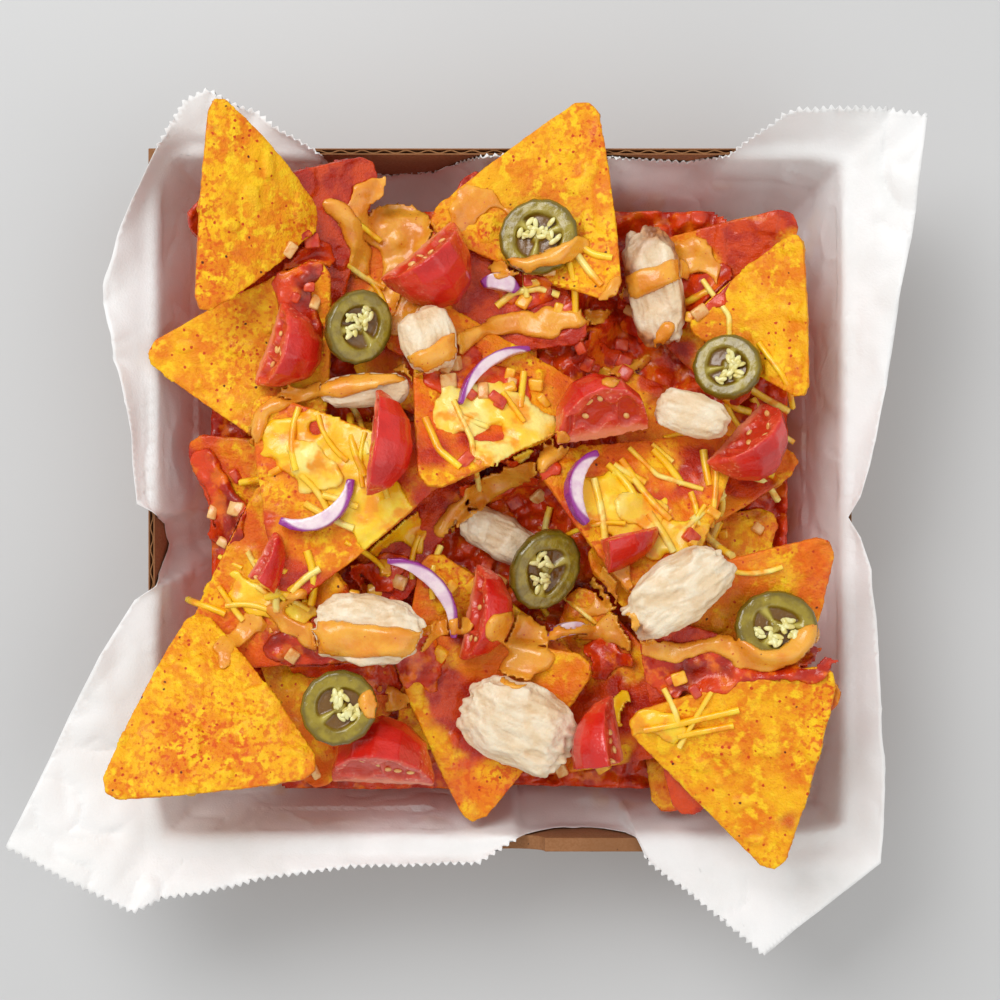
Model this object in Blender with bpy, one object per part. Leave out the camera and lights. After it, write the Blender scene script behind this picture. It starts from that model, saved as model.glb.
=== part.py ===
"""Loaded nachos in a square corrugated box lined with white greaseproof paper.

The box stands on z = 0 with its centre on the origin; +X is the right side and
+Y the back. Lengths below are in millimetres and become metres in add_object.
The layers are laid one after another: each piece starts at the level of the
heap at its place and is lifted until it clears everything laid before it.
"""

import math
import random

import bmesh
import bpy
import numpy as np
from mathutils import Matrix, Vector, noise
from mathutils.bvhtree import BVHTree

# --- box -------------------------------------------------------------------
BOX_SIDE = 204.0
BOX_HEIGHT = 48.0
BOARD = 1.8
ROLLED_WALL = 4.0  # the front wall is folded over on itself
NOTCH_WIDTH = 19.0
NOTCH_DEPTH = 5.0
NOTCH_X = 3.5

# --- liner -----------------------------------------------------------------
PAPER = 0.8
AIR = 0.35  # clear gap between the liner and the board
PAPER_FLOOR = BOARD + AIR
FLOOR_SLACK = 15.0  # how far the sheet keeps from the wall at its foot
WALL_SLACK = 8.0  # and half-way up

# The free edge of the sheet, from the left back tip round by the right:
# x, y and the height where the edge hangs.
PAPER_EDGE = (
    (-84, 117, 57), (-67, 108, 55), (-52, 99, 53), (-50, 98.5, 20), (-33, 98.5, 14),
    (-20, 98.5, 20), (-14, 98.5, 34), (-5, 99, 50), (2, 100, 50), (18, 100, 50),
    (32, 98.5, 50), (44, 98.5, 42), (56, 98.5, 38), (66, 98.5, 50), (74, 104, 58),
    (85, 110, 62), (102, 111, 60), (122, 110, 57), (118, 77, 56), (113, 49, 55),
    (108, 17, 54), (103, 1, 53), (100, -5, 50), (103, -11, 53), (106, -20, 54),
    (108, -46, 55), (110, -83, 55), (109, -104, 55), (76, -131, 53), (58, -116, 52),
    (43, -104, 52), (40, -97, 50), (37, -97, 42), (27, -96, 32), (16, -96, 34),
    (8, -97, 44), (5, -97, 50), (-6, -104, 52), (-17, -104, 53), (-43, -105, 53),
    (-69, -109, 53),
    (-86, -113, 54), (-99, -115, 53), (-105, -118, 56), (-123, -109, 57),
    (-141, -99, 58), (-129, -75, 56), (-115, -45, 54), (-105, -29, 52),
    (-98.5, -25, 50), (-98.5, -21, 42), (-98.5, -13, 26), (-98.5, -7, 34),
    (-98.5, -4, 50), (-104, -1, 53), (-105, 9, 54),
    (-107, 26, 56), (-110, 43, 57), (-112, 61, 58), (-104, 86, 57), (-97, 101, 57),
    (-90, 114, 57),
)  # fmt: skip

# --- heap ------------------------------------------------------------------
HEAP_MIDDLE = 48.0  # height of the heap's middle above the table
HEAP_EDGE = 34.0  # and along the walls
HEAP_SIDE = 170.0
HEAP_CELL = HEAP_SIDE / 24
HEAP_CORNER = 150.0  # |x| + |y| at the cut-off corners of the heap
FOOT_SHARE = 0.89  # size of the heap's foot against its top
PIECE_GAP = 0.45  # air left between any two pieces
PROBE = 1.0  # spacing of the grid that finds how far a piece may sink
LEAN = 0.32  # most that a piece's slope may differ from the one it is given
STEEP = 40.0  # a piece laid this steep, in degrees, keeps its slope
LEAN_COST = 12.0  # and what such a difference counts against a lower place
SHIFT = {"chip": 3, "topping": 5}  # most grid steps that a piece may slip sideways
SHIFT_COST = 0.5  # and what that counts against a lower place
FILL = 7.0  # how far the filling rises above the heap's level under the pieces

# --- chips -----------------------------------------------------------------
CHIP_SIDE = 67.0
CHIP_CORNER = 5.0
CHIP_THICK = 2.0
# broken chips: size along the first corner and across it, against a whole one
BROKEN = {"chip_right_curled": (0.66, 0.80), "chip_back_left_curled": (0.70, 1.0)}

# name: x, y, bearing of one corner, slope, downhill bearing, curl (1/mm, positive
# with the edges turned up), bearing of the axis that it is curled round
CHIPS = {
    "chip_back_right_low": (65, 60, 45, 10, 60, 0.004, 20),
    "chip_middle_low": (-31, 3, -89, 8, 154, 0.006, 60),
    "chip_front_left_low": (-48, -54, -99, 10, -80, 0.005, 10),
    "chip_front_right_low": (64, -64, 5, 12, -60, 0.006, 70),
    "chip_front_low": (30, -58, -137, 6, 115, 0.004, 0),
    "chip_right_low": (53, -29, 44, 12, -44, 0.006, 110),
    "chip_right_tip": (56, 13, 4, 8, 24, 0.006, 0),
    "chip_left_dark": (-64, -3, 145, 16, 135, 0.008, 50),
    "chip_left_front": (-64, -28, -148, 16, -122, 0.007, 120),
    "chip_cheesy_back": (-30, 66, 28, 10, 146, 0.006, 90),
    "chip_red_edge": (-60, 74, 44, 34, -36, 0.010, 54),
    "chip_left_big": (-68, 40, 176, 14, 263, 0.012, 0),
    "chip_middle_back": (-9, 38, 60, 8, 16, 0.006, 30),
    "chip_back_saucy": (-5, 62, 94, 14, 2, 0.008, 90),
    "chip_back_tip": (13, 84, 67, 18, 150, 0.009, 60),
    "chip_right_curled": (73, 55, 184, 30, 172, 0.016, 85),
    "chip_back_left_curled": (-72, 82, -5, 30, 0, -0.019, 85),
    "chip_melt_left": (-48, 3, -111, 12, -37, 0.006, 140),
    "chip_melt_middle": (-6, 26, -122, 12, 116, 0.006, 20),
    "chip_melt_right": (41, -2, 40, 18, 16, 0.008, 100),
    "chip_right_front": (68, -35, 47, 18, -141, 0.008, 40),
    "chip_saucy_front": (62, -58, 10, 8, -64, 0.006, 90),
    "chip_front_middle": (-8, -46, 112, 12, 14, 0.006, 30),
    "chip_front_curled": (-4, -60, -96, 14, 183, 0.012, 90),
    "chip_front_left_edge": (-82, -62, 95, 28, 91, -0.008, 0),
    "chip_front_right_top": (68, -70, 167, 16, 158, 0.008, 60),
}

# --- toppings --------------------------------------------------------------
# name: x, y, turn, slope, downhill bearing, roll, length, depth, spread, halved
TOMATOES = {
    "tomato_left": (-60, 42, 70, 10, 0, 60, 25, 17, 62, False),
    "tomato_back": (-19, 66, 40, 10, 0, 60, 27, 20, 70, False),
    "tomato_middle": (-27, 11, 88, 12, 90, 60, 31, 13, 66, False),
    "tomato_right_middle": (27, 25, 10, 10, 200, -70, 28, 19, 66, False),
    "tomato_right": (72, 16, 45, 8, 0, 50, 27, 17, 66, False),
    "tomato_small": (43, -17, 10, 8, 0, 30, 18, 11, 70, True),
    "tomato_front_middle": (-4, -33, 80, 10, 0, 60, 28, 14, 66, False),
    "tomato_front": (30, -60, 100, 10, 0, -80, 19, 15, 70, True),
    "tomato_front_left": (-30, -72, 0, 12, 90, -70, 30, 20, 74, False),
    "tomato_buried": (-63, -16, 60, 12, 0, 60, 15, 9, 70, True),
}

# name: x, y, turn, slope, downhill bearing, long radius, short radius, thickness
PEPPERS = {
    "jalapeno_back": (11, 75, 20, 12, -100, 11.6, 11.0, 4.2),
    "jalapeno_left": (-43, 45, 60, 16, 40, 11.0, 9.8, 4.4),
    "jalapeno_right": (65, 38, 0, 20, 100, 10.0, 9.6, 4.0),
    "jalapeno_middle": (16, -16, 70, 14, -30, 12.4, 10.6, 4.4),
    "jalapeno_far_right": (76, -38, 0, 16, 60, 11.6, 10.2, 4.2),
    "jalapeno_front": (-47, -62, 30, 12, -90, 11.0, 10.6, 4.2),
}
JALAPENO_SEGMENTS = 14

# name: x, y, turn, slope, downhill bearing, length, width, height
CHICKEN = {
    "chicken_back": (40, 64, 100, 12, 90, 33, 17, 12),
    "chicken_left_back": (-20, 45, 110, 8, 0, 19, 16, 9),
    "chicken_left": (-33, 30, 4, 8, 0, 27, 10, 8),
    "chicken_right": (49, 22, -20, 8, 0, 22, 13, 9),
    "chicken_middle": (-2, -10, -28, 10, -60, 26, 13, 9),
    "chicken_curved": (49, -25, 35, 10, -60, 33, 19, 12),
    "chicken_front_left": (-37, -36, -10, 8, -90, 31, 20, 11),
    "chicken_front": (5, -64, -20, 8, -90, 34, 25, 12),
}

# name: x, y, turn, slope, downhill bearing, radius, sweep, width, height
ONIONS = {
    "onion_back": (-3, 65, 80, 14, 0, 8, 80, 5, 5),
    "onion_middle": (-3, 37, 130, 10, 0, 24, 70, 3.2, 5),
    "onion_left": (-50, -3, -60, 10, 0, 14, 110, 4.2, 5),
    "onion_right": (23, 4, 170, 14, 0, 13, 110, 4.2, 5),
    "onion_front": (-19, -26, 40, 10, 0, 20, 95, 4.2, 5),
    "onion_small": (20, -43, 100, 14, 0, 11, 70, 4.0, 5),
}

# The order in which everything is laid, from the lowest up.
LAID = (
    "chip_back_right_low", "chip_middle_low", "chip_front_left_low",
    "chip_front_right_low", "chip_front_low", "chip_right_low", "chip_right_tip",
    "chip_left_dark", "chip_left_front", "chip_cheesy_back", "chip_red_edge",
    "chip_left_big", "chip_middle_back", "chip_back_saucy", "chip_back_tip",
    "chicken_back", "chip_right_curled", "chip_back_left_curled", "chip_melt_left",
    "chip_melt_middle", "chip_melt_right", "chip_right_front", "chip_saucy_front",
    "chip_front_middle", "chip_front_curled", "chip_front_left_edge",
    "chip_front_right_top", "tomato_buried", "tomato_left", "tomato_back",
    "chicken_left_back", "onion_back", "jalapeno_back", "chicken_left",
    "jalapeno_left", "jalapeno_right", "onion_left", "tomato_middle",
    "onion_middle", "tomato_right_middle", "chicken_right", "tomato_right",
    "onion_right", "chicken_middle", "jalapeno_middle", "chicken_curved",
    "tomato_small", "jalapeno_far_right", "tomato_front_middle", "onion_front",
    "chicken_front_left", "onion_small", "chicken_front", "tomato_front",
    "tomato_front_left", "jalapeno_front",
)  # fmt: skip

# How far a piece's underside lies below the heap's level, on average.
SUNK = {"chip": 1.0, "tomato": 5.0, "jalapeno": 1.0, "chicken": 4.0, "onion": 1.5}

# colour, roughness
FINISHES = {
    "cardboard": ((0.36, 0.20, 0.11), 0.88),
    "paper": ((0.86, 0.86, 0.85), 0.55),
    "chip": ((0.78, 0.34, 0.04), 0.55),
    "tomato": ((0.60, 0.05, 0.03), 0.25),
    "jalapeno": ((0.30, 0.26, 0.04), 0.3),
    "chicken": ((0.72, 0.52, 0.30), 0.45),
    "onion": ((0.66, 0.50, 0.62), 0.3),
    "salsa": ((0.28, 0.05, 0.02), 0.25),
}


def clear_scene():
    for item in list(bpy.data.objects):
        bpy.data.objects.remove(item, do_unlink=True)


def material(name, finish):
    """A Principled material of its own for one sub-part."""
    colour, roughness = FINISHES[finish]
    made = bpy.data.materials.new(name)
    made.use_nodes = True
    shader = made.node_tree.nodes["Principled BSDF"]
    shader.inputs["Base Color"].default_value = (*colour, 1.0)
    shader.inputs["Roughness"].default_value = roughness
    shader.inputs["Metallic"].default_value = 0.0
    made.diffuse_color = (*colour, 1.0)
    return made


def add_object(name, bm, finish, place=None):
    """Turns a bmesh in millimetres into a named object in metres."""
    bmesh.ops.recalc_face_normals(bm, faces=bm.faces)
    mesh = bpy.data.meshes.new(name)
    bm.to_mesh(mesh)
    bm.free()
    mesh.transform(Matrix.Scale(0.001, 4))
    mesh.materials.append(material(name, finish))
    obj = bpy.data.objects.new(name, mesh)
    bpy.context.scene.collection.objects.link(obj)
    if place is not None:
        turned = place.to_3x3().to_4x4()
        obj.matrix_world = Matrix.Translation(place.translation * 0.001) @ turned
    return obj


def cuboid(bm, low, high):
    """Adds a closed block between two opposite corners."""
    low, high = Vector(low), Vector(high)
    made = bmesh.ops.create_cube(bm, size=1.0)["verts"]
    middle, size = (low + high) / 2, high - low
    for vert in made:
        vert.co = middle + Vector(a * b for a, b in zip(vert.co, size))


def cutter(target, name, bm, operation="DIFFERENCE"):
    """Joins or cuts one shape with an exact Boolean and hides the helper."""
    tool = add_object(name, bm, "cardboard")
    tool.hide_render = True
    tool.display_type = "WIRE"
    modifier = target.modifiers.new(name, "BOOLEAN")
    modifier.operation = operation
    modifier.solver = "EXACT"
    modifier.object = tool


def build_box():
    """The open tray: thin walls, a rolled front wall with a thumb notch."""
    half = BOX_SIDE / 2
    bm = bmesh.new()
    cuboid(bm, (-half, -half, 0), (half, half, BOX_HEIGHT))
    box = add_object("box", bm, "cardboard")

    bm = bmesh.new()
    inner = half - BOARD
    cuboid(bm, (-inner, -half + ROLLED_WALL, BOARD), (inner, inner, BOX_HEIGHT + 5))
    cutter(box, "box_inside", bm)

    bm = bmesh.new()
    steps = 12
    outline = [
        (
            NOTCH_X + NOTCH_WIDTH / 2 * math.cos(math.pi * i / steps),
            BOX_HEIGHT - NOTCH_DEPTH * math.sin(math.pi * i / steps),
        )
        for i in range(steps + 1)
    ]
    outline = [(outline[0][0], BOX_HEIGHT + 4)] + outline + [(outline[-1][0], BOX_HEIGHT + 4)]
    near = [bm.verts.new((x, -half - 4, z)) for x, z in outline]
    far = [bm.verts.new((x, -half + ROLLED_WALL + 3, z)) for x, z in outline]
    bm.faces.new(near)
    bm.faces.new(far[::-1])
    for i in range(len(near)):
        j = (i + 1) % len(near)
        bm.faces.new((near[j], near[i], far[i], far[j]))
    cutter(box, "box_notch", bm)
    return box


def on_square(bearing, x_half, y_low, y_high):
    """The point of the box's plan rectangle in one direction from its middle."""
    x, y = math.cos(bearing), math.sin(bearing)
    reach = min(
        x_half / abs(x) if abs(x) > 1e-6 else 1e9,
        (y_high if y > 0 else y_low) / abs(y) if abs(y) > 1e-6 else 1e9,
    )
    return x * reach, y * reach


def paper_profile(x, y, z):
    """The sheet from near the middle of the floor to one point of its edge."""
    bearing = math.atan2(y, x)
    floor = PAPER_FLOOR + PAPER
    inner = BOX_SIDE / 2 - BOARD - AIR - PAPER
    front = BOX_SIDE / 2 - ROLLED_WALL - AIR - PAPER
    rows = []
    for share in (0.45, 0.80):
        px, py = on_square(bearing, inner * share, front * share, inner * share)
        rows.append((px, py, floor))
    off_wall = (FLOOR_SLACK, WALL_SLACK)
    foot, waist = (
        on_square(bearing, inner - off, front - off, inner - off) for off in off_wall
    )
    rows.append((*foot, floor + 1.5))
    inside = z < BOX_HEIGHT
    top = z if inside else BOX_HEIGHT - 2
    wall = on_square(bearing, inner - 0.3, front - 0.3, inner - 0.3)
    rows.append((*waist, floor + (top - floor) * 0.5))
    if inside:
        rows.append((*wall, floor + (top - floor) * 0.75))
        rows.append((*wall, floor + (top - floor) * 0.9))
        rows.append((*wall, top))
        return rows
    rim = BOX_HEIGHT + AIR + PAPER + 0.7
    rows.append((*wall, rim))
    over = on_square(bearing, BOX_SIDE / 2 + 0.6, BOX_SIDE / 2 + 0.6, BOX_SIDE / 2 + 0.6)
    reach = math.hypot(x, y) / math.hypot(*over)
    if reach < 1.0:
        over = (wall[0] + x) / 2, (wall[1] + y) / 2
    rows.append((*over, max(rim, min(z, rim + 0.5))))
    rows.append((x, y, max(z, rim)))
    return rows


def build_paper():
    """The liner: a thin closed sheet from the floor up the walls and over."""
    points = []
    count = len(PAPER_EDGE)
    for i, here in enumerate(PAPER_EDGE):
        following = PAPER_EDGE[(i + 1) % count]
        points.append(here)
        gap = math.dist(here[:2], following[:2])
        if gap > 14:
            points.append(tuple((a + b) / 2 for a, b in zip(here, following)))
    profiles = [paper_profile(*point) for point in points]
    bm = bmesh.new()
    rings = [[bm.verts.new(rows[k]) for rows in profiles] for k in range(len(profiles[0]))]
    middle = bm.verts.new((0, 0, PAPER_FLOOR + PAPER))
    size = len(points)
    for i in range(size):
        j = (i + 1) % size
        bm.faces.new((middle, rings[0][j], rings[0][i]))
        for low, high in zip(rings, rings[1:]):
            bm.faces.new((low[i], low[j], high[j], high[i]))
    bmesh.ops.recalc_face_normals(bm, faces=bm.faces)
    bm.faces.ensure_lookup_table()
    if middle.link_faces[0].normal.z < 0:
        bmesh.ops.reverse_faces(bm, faces=bm.faces)
    bm.normal_update()
    # The underside follows the top by the sheet's thickness along its normals.
    top = list(bm.verts)
    normals = [vert.normal.copy() for vert in top]
    under = [bm.verts.new(vert.co - normal * PAPER) for vert, normal in zip(top, normals)]
    match = dict(zip(top, under))
    for face in list(bm.faces):
        bm.faces.new([match[vert] for vert in reversed(face.verts)])
    edge = rings[-1]
    for i in range(size):
        j = (i + 1) % size
        bm.faces.new((edge[i], edge[j], match[edge[j]], match[edge[i]]))
    return add_object("paper", bm, "paper")


def chip_outline():
    """A rounded triangle: an arc at each corner and a slightly full side."""
    reach = 2 * (CHIP_SIDE / (2 * math.sqrt(3)) - CHIP_CORNER)
    outline = []
    for corner in (0, 120, 240):
        aim = math.radians(corner)
        centre = Vector((math.cos(aim), math.sin(aim))) * reach
        for swing in (-52, 0, 52):
            turn = aim + math.radians(swing)
            outline.append(centre + Vector((math.cos(turn), math.sin(turn))) * CHIP_CORNER)
    full = []
    for i, point in enumerate(outline):
        full.append(point)
        if i % 3 == 2:
            after = outline[(i + 1) % len(outline)]
            for share in (1 / 3, 2 / 3):
                between = point.lerp(after, share)
                full.append(between + between.normalized() * 0.7)
    return full


def chip(curl, axis, size=(1.0, 1.0)):
    """A thin triangular chip rolled round one axis, its edges turned up."""
    beta = math.radians(axis)
    along = Vector((math.cos(beta), math.sin(beta), 0))
    across = Vector((-math.sin(beta), math.cos(beta), 0))

    def curved(point, lift):
        u, v = point.dot(along.xy), point.dot(across.xy)
        angle = curl * v
        spot = along * u + across * (math.sin(angle) / curl)
        spot.z = (1 - math.cos(angle)) / curl + 0.0008 * u * v
        normal = across * -math.sin(angle) + Vector((0, 0, math.cos(angle)))
        return spot + normal * lift

    bm = bmesh.new()
    outline = [Vector((p.x * size[0], p.y * size[1])) for p in chip_outline()]
    sides = []
    for lift in (CHIP_THICK / 2, -CHIP_THICK / 2):
        rings = [
            [bm.verts.new(curved(point * share, lift)) for point in outline]
            for share in (0.52, 1.0)
        ]
        middle = bm.verts.new(curved(Vector((0, 0)), lift))
        sides.append((middle, rings))
    count = len(outline)
    for i in range(count):
        j = (i + 1) % count
        for flip, (middle, rings) in enumerate(sides):
            quad = (rings[0][i], rings[1][i], rings[1][j], rings[0][j])
            tri = (middle, rings[0][i], rings[0][j])
            bm.faces.new(quad[::-1] if flip else quad)
            bm.faces.new(tri[::-1] if flip else tri)
        upper, lower = sides[0][1][1], sides[1][1][1]
        bm.faces.new((upper[i], lower[i], lower[j], upper[j]))
    return bm


def tomato(roll, length, depth, spread, halved):
    """A wedge: rounded skin between two flat cuts that meet at the core edge."""
    bm = bmesh.new()
    across = 4
    start = 0 if halved else -80
    lats = [math.radians(start + (80 - start) * i / 6) for i in range(7)]
    half = math.radians(spread) / 2
    stations = []
    for lat in lats:
        x = length / (1 if halved else 2) * math.sin(lat)
        radius = depth * math.cos(lat)
        skin = []
        for k in range(across + 1):
            turn = -half + 2 * half * k / across
            skin.append(bm.verts.new((x, radius * math.sin(turn), radius * math.cos(turn))))
        stations.append((bm.verts.new((x, 0, 0)), skin))
    for (core_a, skin_a), (core_b, skin_b) in zip(stations, stations[1:]):
        bm.faces.new((core_a, core_b, skin_b[0], skin_a[0]))
        bm.faces.new((core_b, core_a, skin_a[-1], skin_b[-1]))
        for k in range(across):
            bm.faces.new((skin_a[k], skin_b[k], skin_b[k + 1], skin_a[k + 1]))
    for core, skin in (stations[0], stations[-1]):
        bm.faces.new((core, *skin))
    centre = sum((vert.co for vert in bm.verts), Vector()) / len(bm.verts)
    bmesh.ops.translate(bm, verts=bm.verts, vec=-centre)
    turn = Matrix.Rotation(math.radians(roll), 3, "X")
    bmesh.ops.rotate(bm, verts=bm.verts, cent=(0, 0, 0), matrix=turn)
    return bm


def jalapeno(long_radius, short_radius, thick):
    """A thick round slice with a softened rim."""
    bm = bmesh.new()
    rings = []
    for z, inset in ((-thick / 2, 0.9), (-thick / 4, 0), (thick / 4, 0), (thick / 2, 0.9)):
        ring = []
        for i in range(JALAPENO_SEGMENTS):
            turn = 2 * math.pi * i / JALAPENO_SEGMENTS
            ring.append(
                bm.verts.new(
                    (
                        (long_radius - inset) * math.cos(turn),
                        (short_radius - inset) * math.sin(turn),
                        z,
                    )
                )
            )
        rings.append(ring)
    bm.faces.new(rings[0][::-1])
    bm.faces.new(rings[-1])
    for low, high in zip(rings, rings[1:]):
        for i in range(JALAPENO_SEGMENTS):
            j = (i + 1) % JALAPENO_SEGMENTS
            bm.faces.new((low[i], low[j], high[j], high[i]))
    return bm


def chicken(name, length, width, height):
    """A torn lump of cooked chicken: a squared-off ball with uneven sides."""
    bm = bmesh.new()
    bmesh.ops.create_uvsphere(bm, u_segments=10, v_segments=6, radius=1.0)
    drawn = random.Random(name)
    shift = Vector(drawn.uniform(-50, 50) for _ in range(3))
    for vert in bm.verts:
        unit = vert.co.normalized()
        blocky = Vector(math.copysign(abs(value) ** 0.7, value) for value in unit)
        uneven = 1.0 + 0.16 * noise.noise(unit * 1.3 + shift)
        vert.co = Vector(
            (
                blocky.x * length / 2 * uneven,
                blocky.y * width / 2 * uneven,
                blocky.z * height / 2 * uneven,
            )
        )
    return bm


def onion(radius, sweep, width, height):
    """A piece of one onion ring, narrowing to both ends."""
    bm = bmesh.new()
    steps = 8
    stations = []
    for i in range(steps + 1):
        share = i / steps
        turn = math.radians(sweep) * (share - 0.5)
        narrow = 0.45 + 0.55 * math.sin(math.pi * share)
        ring = []
        for side, z in ((-1, -1), (1, -1), (1, 1), (-1, 1)):
            reach = radius + side * width / 2 * narrow
            up = z * height / 2 * narrow
            ring.append(bm.verts.new((reach * math.cos(turn), reach * math.sin(turn), up)))
        stations.append(ring)
    for low, high in zip(stations, stations[1:]):
        for i in range(4):
            j = (i + 1) % 4
            bm.faces.new((low[i], low[j], high[j], high[i]))
    bm.faces.new(stations[0][::-1])
    bm.faces.new(stations[-1])
    centre = sum((vert.co for vert in bm.verts), Vector()) / len(bm.verts)
    bmesh.ops.translate(bm, verts=bm.verts, vec=-centre)
    return bm


def heap_level(x, y):
    """Height of the heap: full in the middle and falling toward the walls."""
    out = max(abs(x), abs(y)) / (HEAP_SIDE / 2)
    rise = HEAP_MIDDLE - HEAP_EDGE
    return HEAP_MIDDLE - rise * min(out, 1.1) ** 4


class Surface:
    """The upper surface of all that has been laid, probed on a square grid."""

    def __init__(self, reach):
        self.count = int(2 * reach / PROBE) + 1
        self.reach = reach
        self.top = np.full((self.count, self.count), -1e3)
        self.under = np.full((self.count, self.count), 1e3)

    def cell(self, value):
        return int(round((value + self.reach) / PROBE))

    def probes(self, tree, points, upward):
        """Yields each grid cell that the piece covers, with its height there."""
        low_x, high_x = min(p.x for p in points), max(p.x for p in points)
        low_y, high_y = min(p.y for p in points), max(p.y for p in points)
        start, way = (-200.0, 1.0) if upward else (300.0, -1.0)
        for i in range(self.cell(low_x), self.cell(high_x) + 1):
            for j in range(self.cell(low_y), self.cell(high_y) + 1):
                x, y = i * PROBE - self.reach, j * PROBE - self.reach
                hit = tree.ray_cast(Vector((x, y, start)), Vector((0, 0, way)))[0]
                if hit is not None:
                    yield i, j, hit.z
        for point in points:
            yield self.cell(point.x), self.cell(point.y), point.z

    def around(self):
        """The highest of each cell and the eight round it."""
        wide = np.pad(self.top, 1, constant_values=-1e3)
        size = self.count
        views = [wide[a : a + size, b : b + size] for a in range(3) for b in range(3)]
        return np.max(views, axis=0)

    def lift_needed(self, bm):
        """How far the piece must rise to clear the surface everywhere."""
        tree = BVHTree.FromBMesh(bm)
        points = [vert.co.copy() for vert in bm.verts]
        around = self.around()
        lift = -1e3
        for i, j, z in self.probes(tree, points, upward=True):
            lift = max(lift, around[i, j] + PIECE_GAP - z)
        return lift

    def lean(self, bm, centre, slopes, shifts):
        """The added slopes and the small move that let the piece lie lowest."""
        tree = BVHTree.FromBMesh(bm)
        points = [vert.co.copy() for vert in bm.verts]
        around = self.around()
        rows = np.array(list(self.probes(tree, points, upward=True)))
        i, j = rows[:, 0].astype(int), rows[:, 1].astype(int)
        x = i * PROBE - self.reach - centre.x
        y = j * PROBE - self.reach - centre.y
        tilts = [(a, b) for a in slopes for b in slopes]
        added = np.array([a * x + b * y for a, b in tilts])
        strain = np.array([LEAN_COST * (a * a + b * b) for a, b in tilts])
        best = None
        for right in shifts:
            for back in shifts:
                height = around[i + right, j + back] - rows[:, 2]
                cost = (height - added).max(axis=1) + strain
                cost += SHIFT_COST * math.hypot(right, back) * PROBE
                k = int(cost.argmin())
                if best is None or cost[k] < best[0]:
                    best = (cost[k], *tilts[k], right * PROBE, back * PROBE)
        return best[1:]

    def add(self, bm):
        tree = BVHTree.FromBMesh(bm)
        points = [vert.co.copy() for vert in bm.verts]
        for i, j, z in self.probes(tree, points, upward=False):
            self.top[i, j] = max(self.top[i, j], z)
        for i, j, z in self.probes(tree, points, upward=True):
            self.under[i, j] = min(self.under[i, j], z)


def placement(x, y, turn, slope, downhill):
    """Turns a piece, then tips it toward its downhill bearing."""
    bearing = math.radians(downhill)
    axis = Vector((-math.sin(bearing), math.cos(bearing), 0))
    tip = Matrix.Rotation(math.radians(slope), 4, axis)
    return Matrix.Translation((x, y, 0)) @ tip @ Matrix.Rotation(math.radians(turn), 4, "Z")


def shape_of(name):
    """The piece's own shape and where it lies."""
    kind = name.split("_")[0]
    if kind == "chip":
        x, y, turn, slope, downhill, curl, axis = CHIPS[name]
        bm = chip(curl, axis - turn, BROKEN.get(name, (1.0, 1.0)))
    elif kind == "tomato":
        x, y, turn, slope, downhill, *shape = TOMATOES[name]
        bm = tomato(*shape)
    elif kind == "jalapeno":
        x, y, turn, slope, downhill, *shape = PEPPERS[name]
        bm = jalapeno(*shape)
    elif kind == "chicken":
        x, y, turn, slope, downhill, *shape = CHICKEN[name]
        bm = chicken(name, *shape)
    else:
        x, y, turn, slope, downhill, *shape = ONIONS[name]
        bm = onion(*shape)
    return kind, bm, placement(x, y, turn, slope, downhill)


def leaning(place, across, along):
    """Adds two slopes, rise per run along X and along Y, to a placement."""
    up = Vector((-across, -along, 1.0)).normalized()
    tip = Vector((0, 0, 1)).rotation_difference(up).to_matrix().to_4x4()
    middle = Matrix.Translation(place.translation)
    return middle @ tip @ middle.inverted() @ place


def moved(bm, place):
    made = bm.copy()
    bmesh.ops.transform(made, verts=made.verts, matrix=place)
    return made


def lay_piece(name, surface):
    """Lays one piece on the heap, leaning on what is under it, and adds it."""
    kind, bm, place = shape_of(name)
    slope = math.degrees(place.to_3x3().col[2].angle(Vector((0, 0, 1))))
    free = LEAN * max(0.12, 1 - slope / STEEP)
    most = SHIFT["chip" if kind == "chip" else "topping"]
    shifts = range(-most, most + 1)
    for reach in (free, free / 4):
        trial = moved(bm, place)
        slopes = np.linspace(-reach, reach, 9)
        *lean, right, back = surface.lean(trial, place.translation, slopes, shifts)
        place = Matrix.Translation((right, back, 0)) @ leaning(place, *lean)
        shifts = (0,)
        trial.free()
    placed = moved(bm, place)
    tree = BVHTree.FromBMesh(placed)
    points = [vert.co.copy() for vert in placed.verts]
    above = [
        z - heap_level(i * PROBE - surface.reach, j * PROBE - surface.reach)
        for i, j, z in surface.probes(tree, points, upward=True)
    ]
    level = -SUNK[kind] - sum(above) / len(above)
    bmesh.ops.translate(placed, verts=placed.verts, vec=(0, 0, level))
    lift = max(0.0, surface.lift_needed(placed))
    bmesh.ops.translate(placed, verts=placed.verts, vec=(0, 0, lift))
    surface.add(placed)
    placed.free()
    add_object(name, bm, kind, Matrix.Translation((0, 0, level + lift)) @ place)
    print(f"{name}: level {level + place.translation.z:.1f}, lifted {lift:.1f}")


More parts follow.
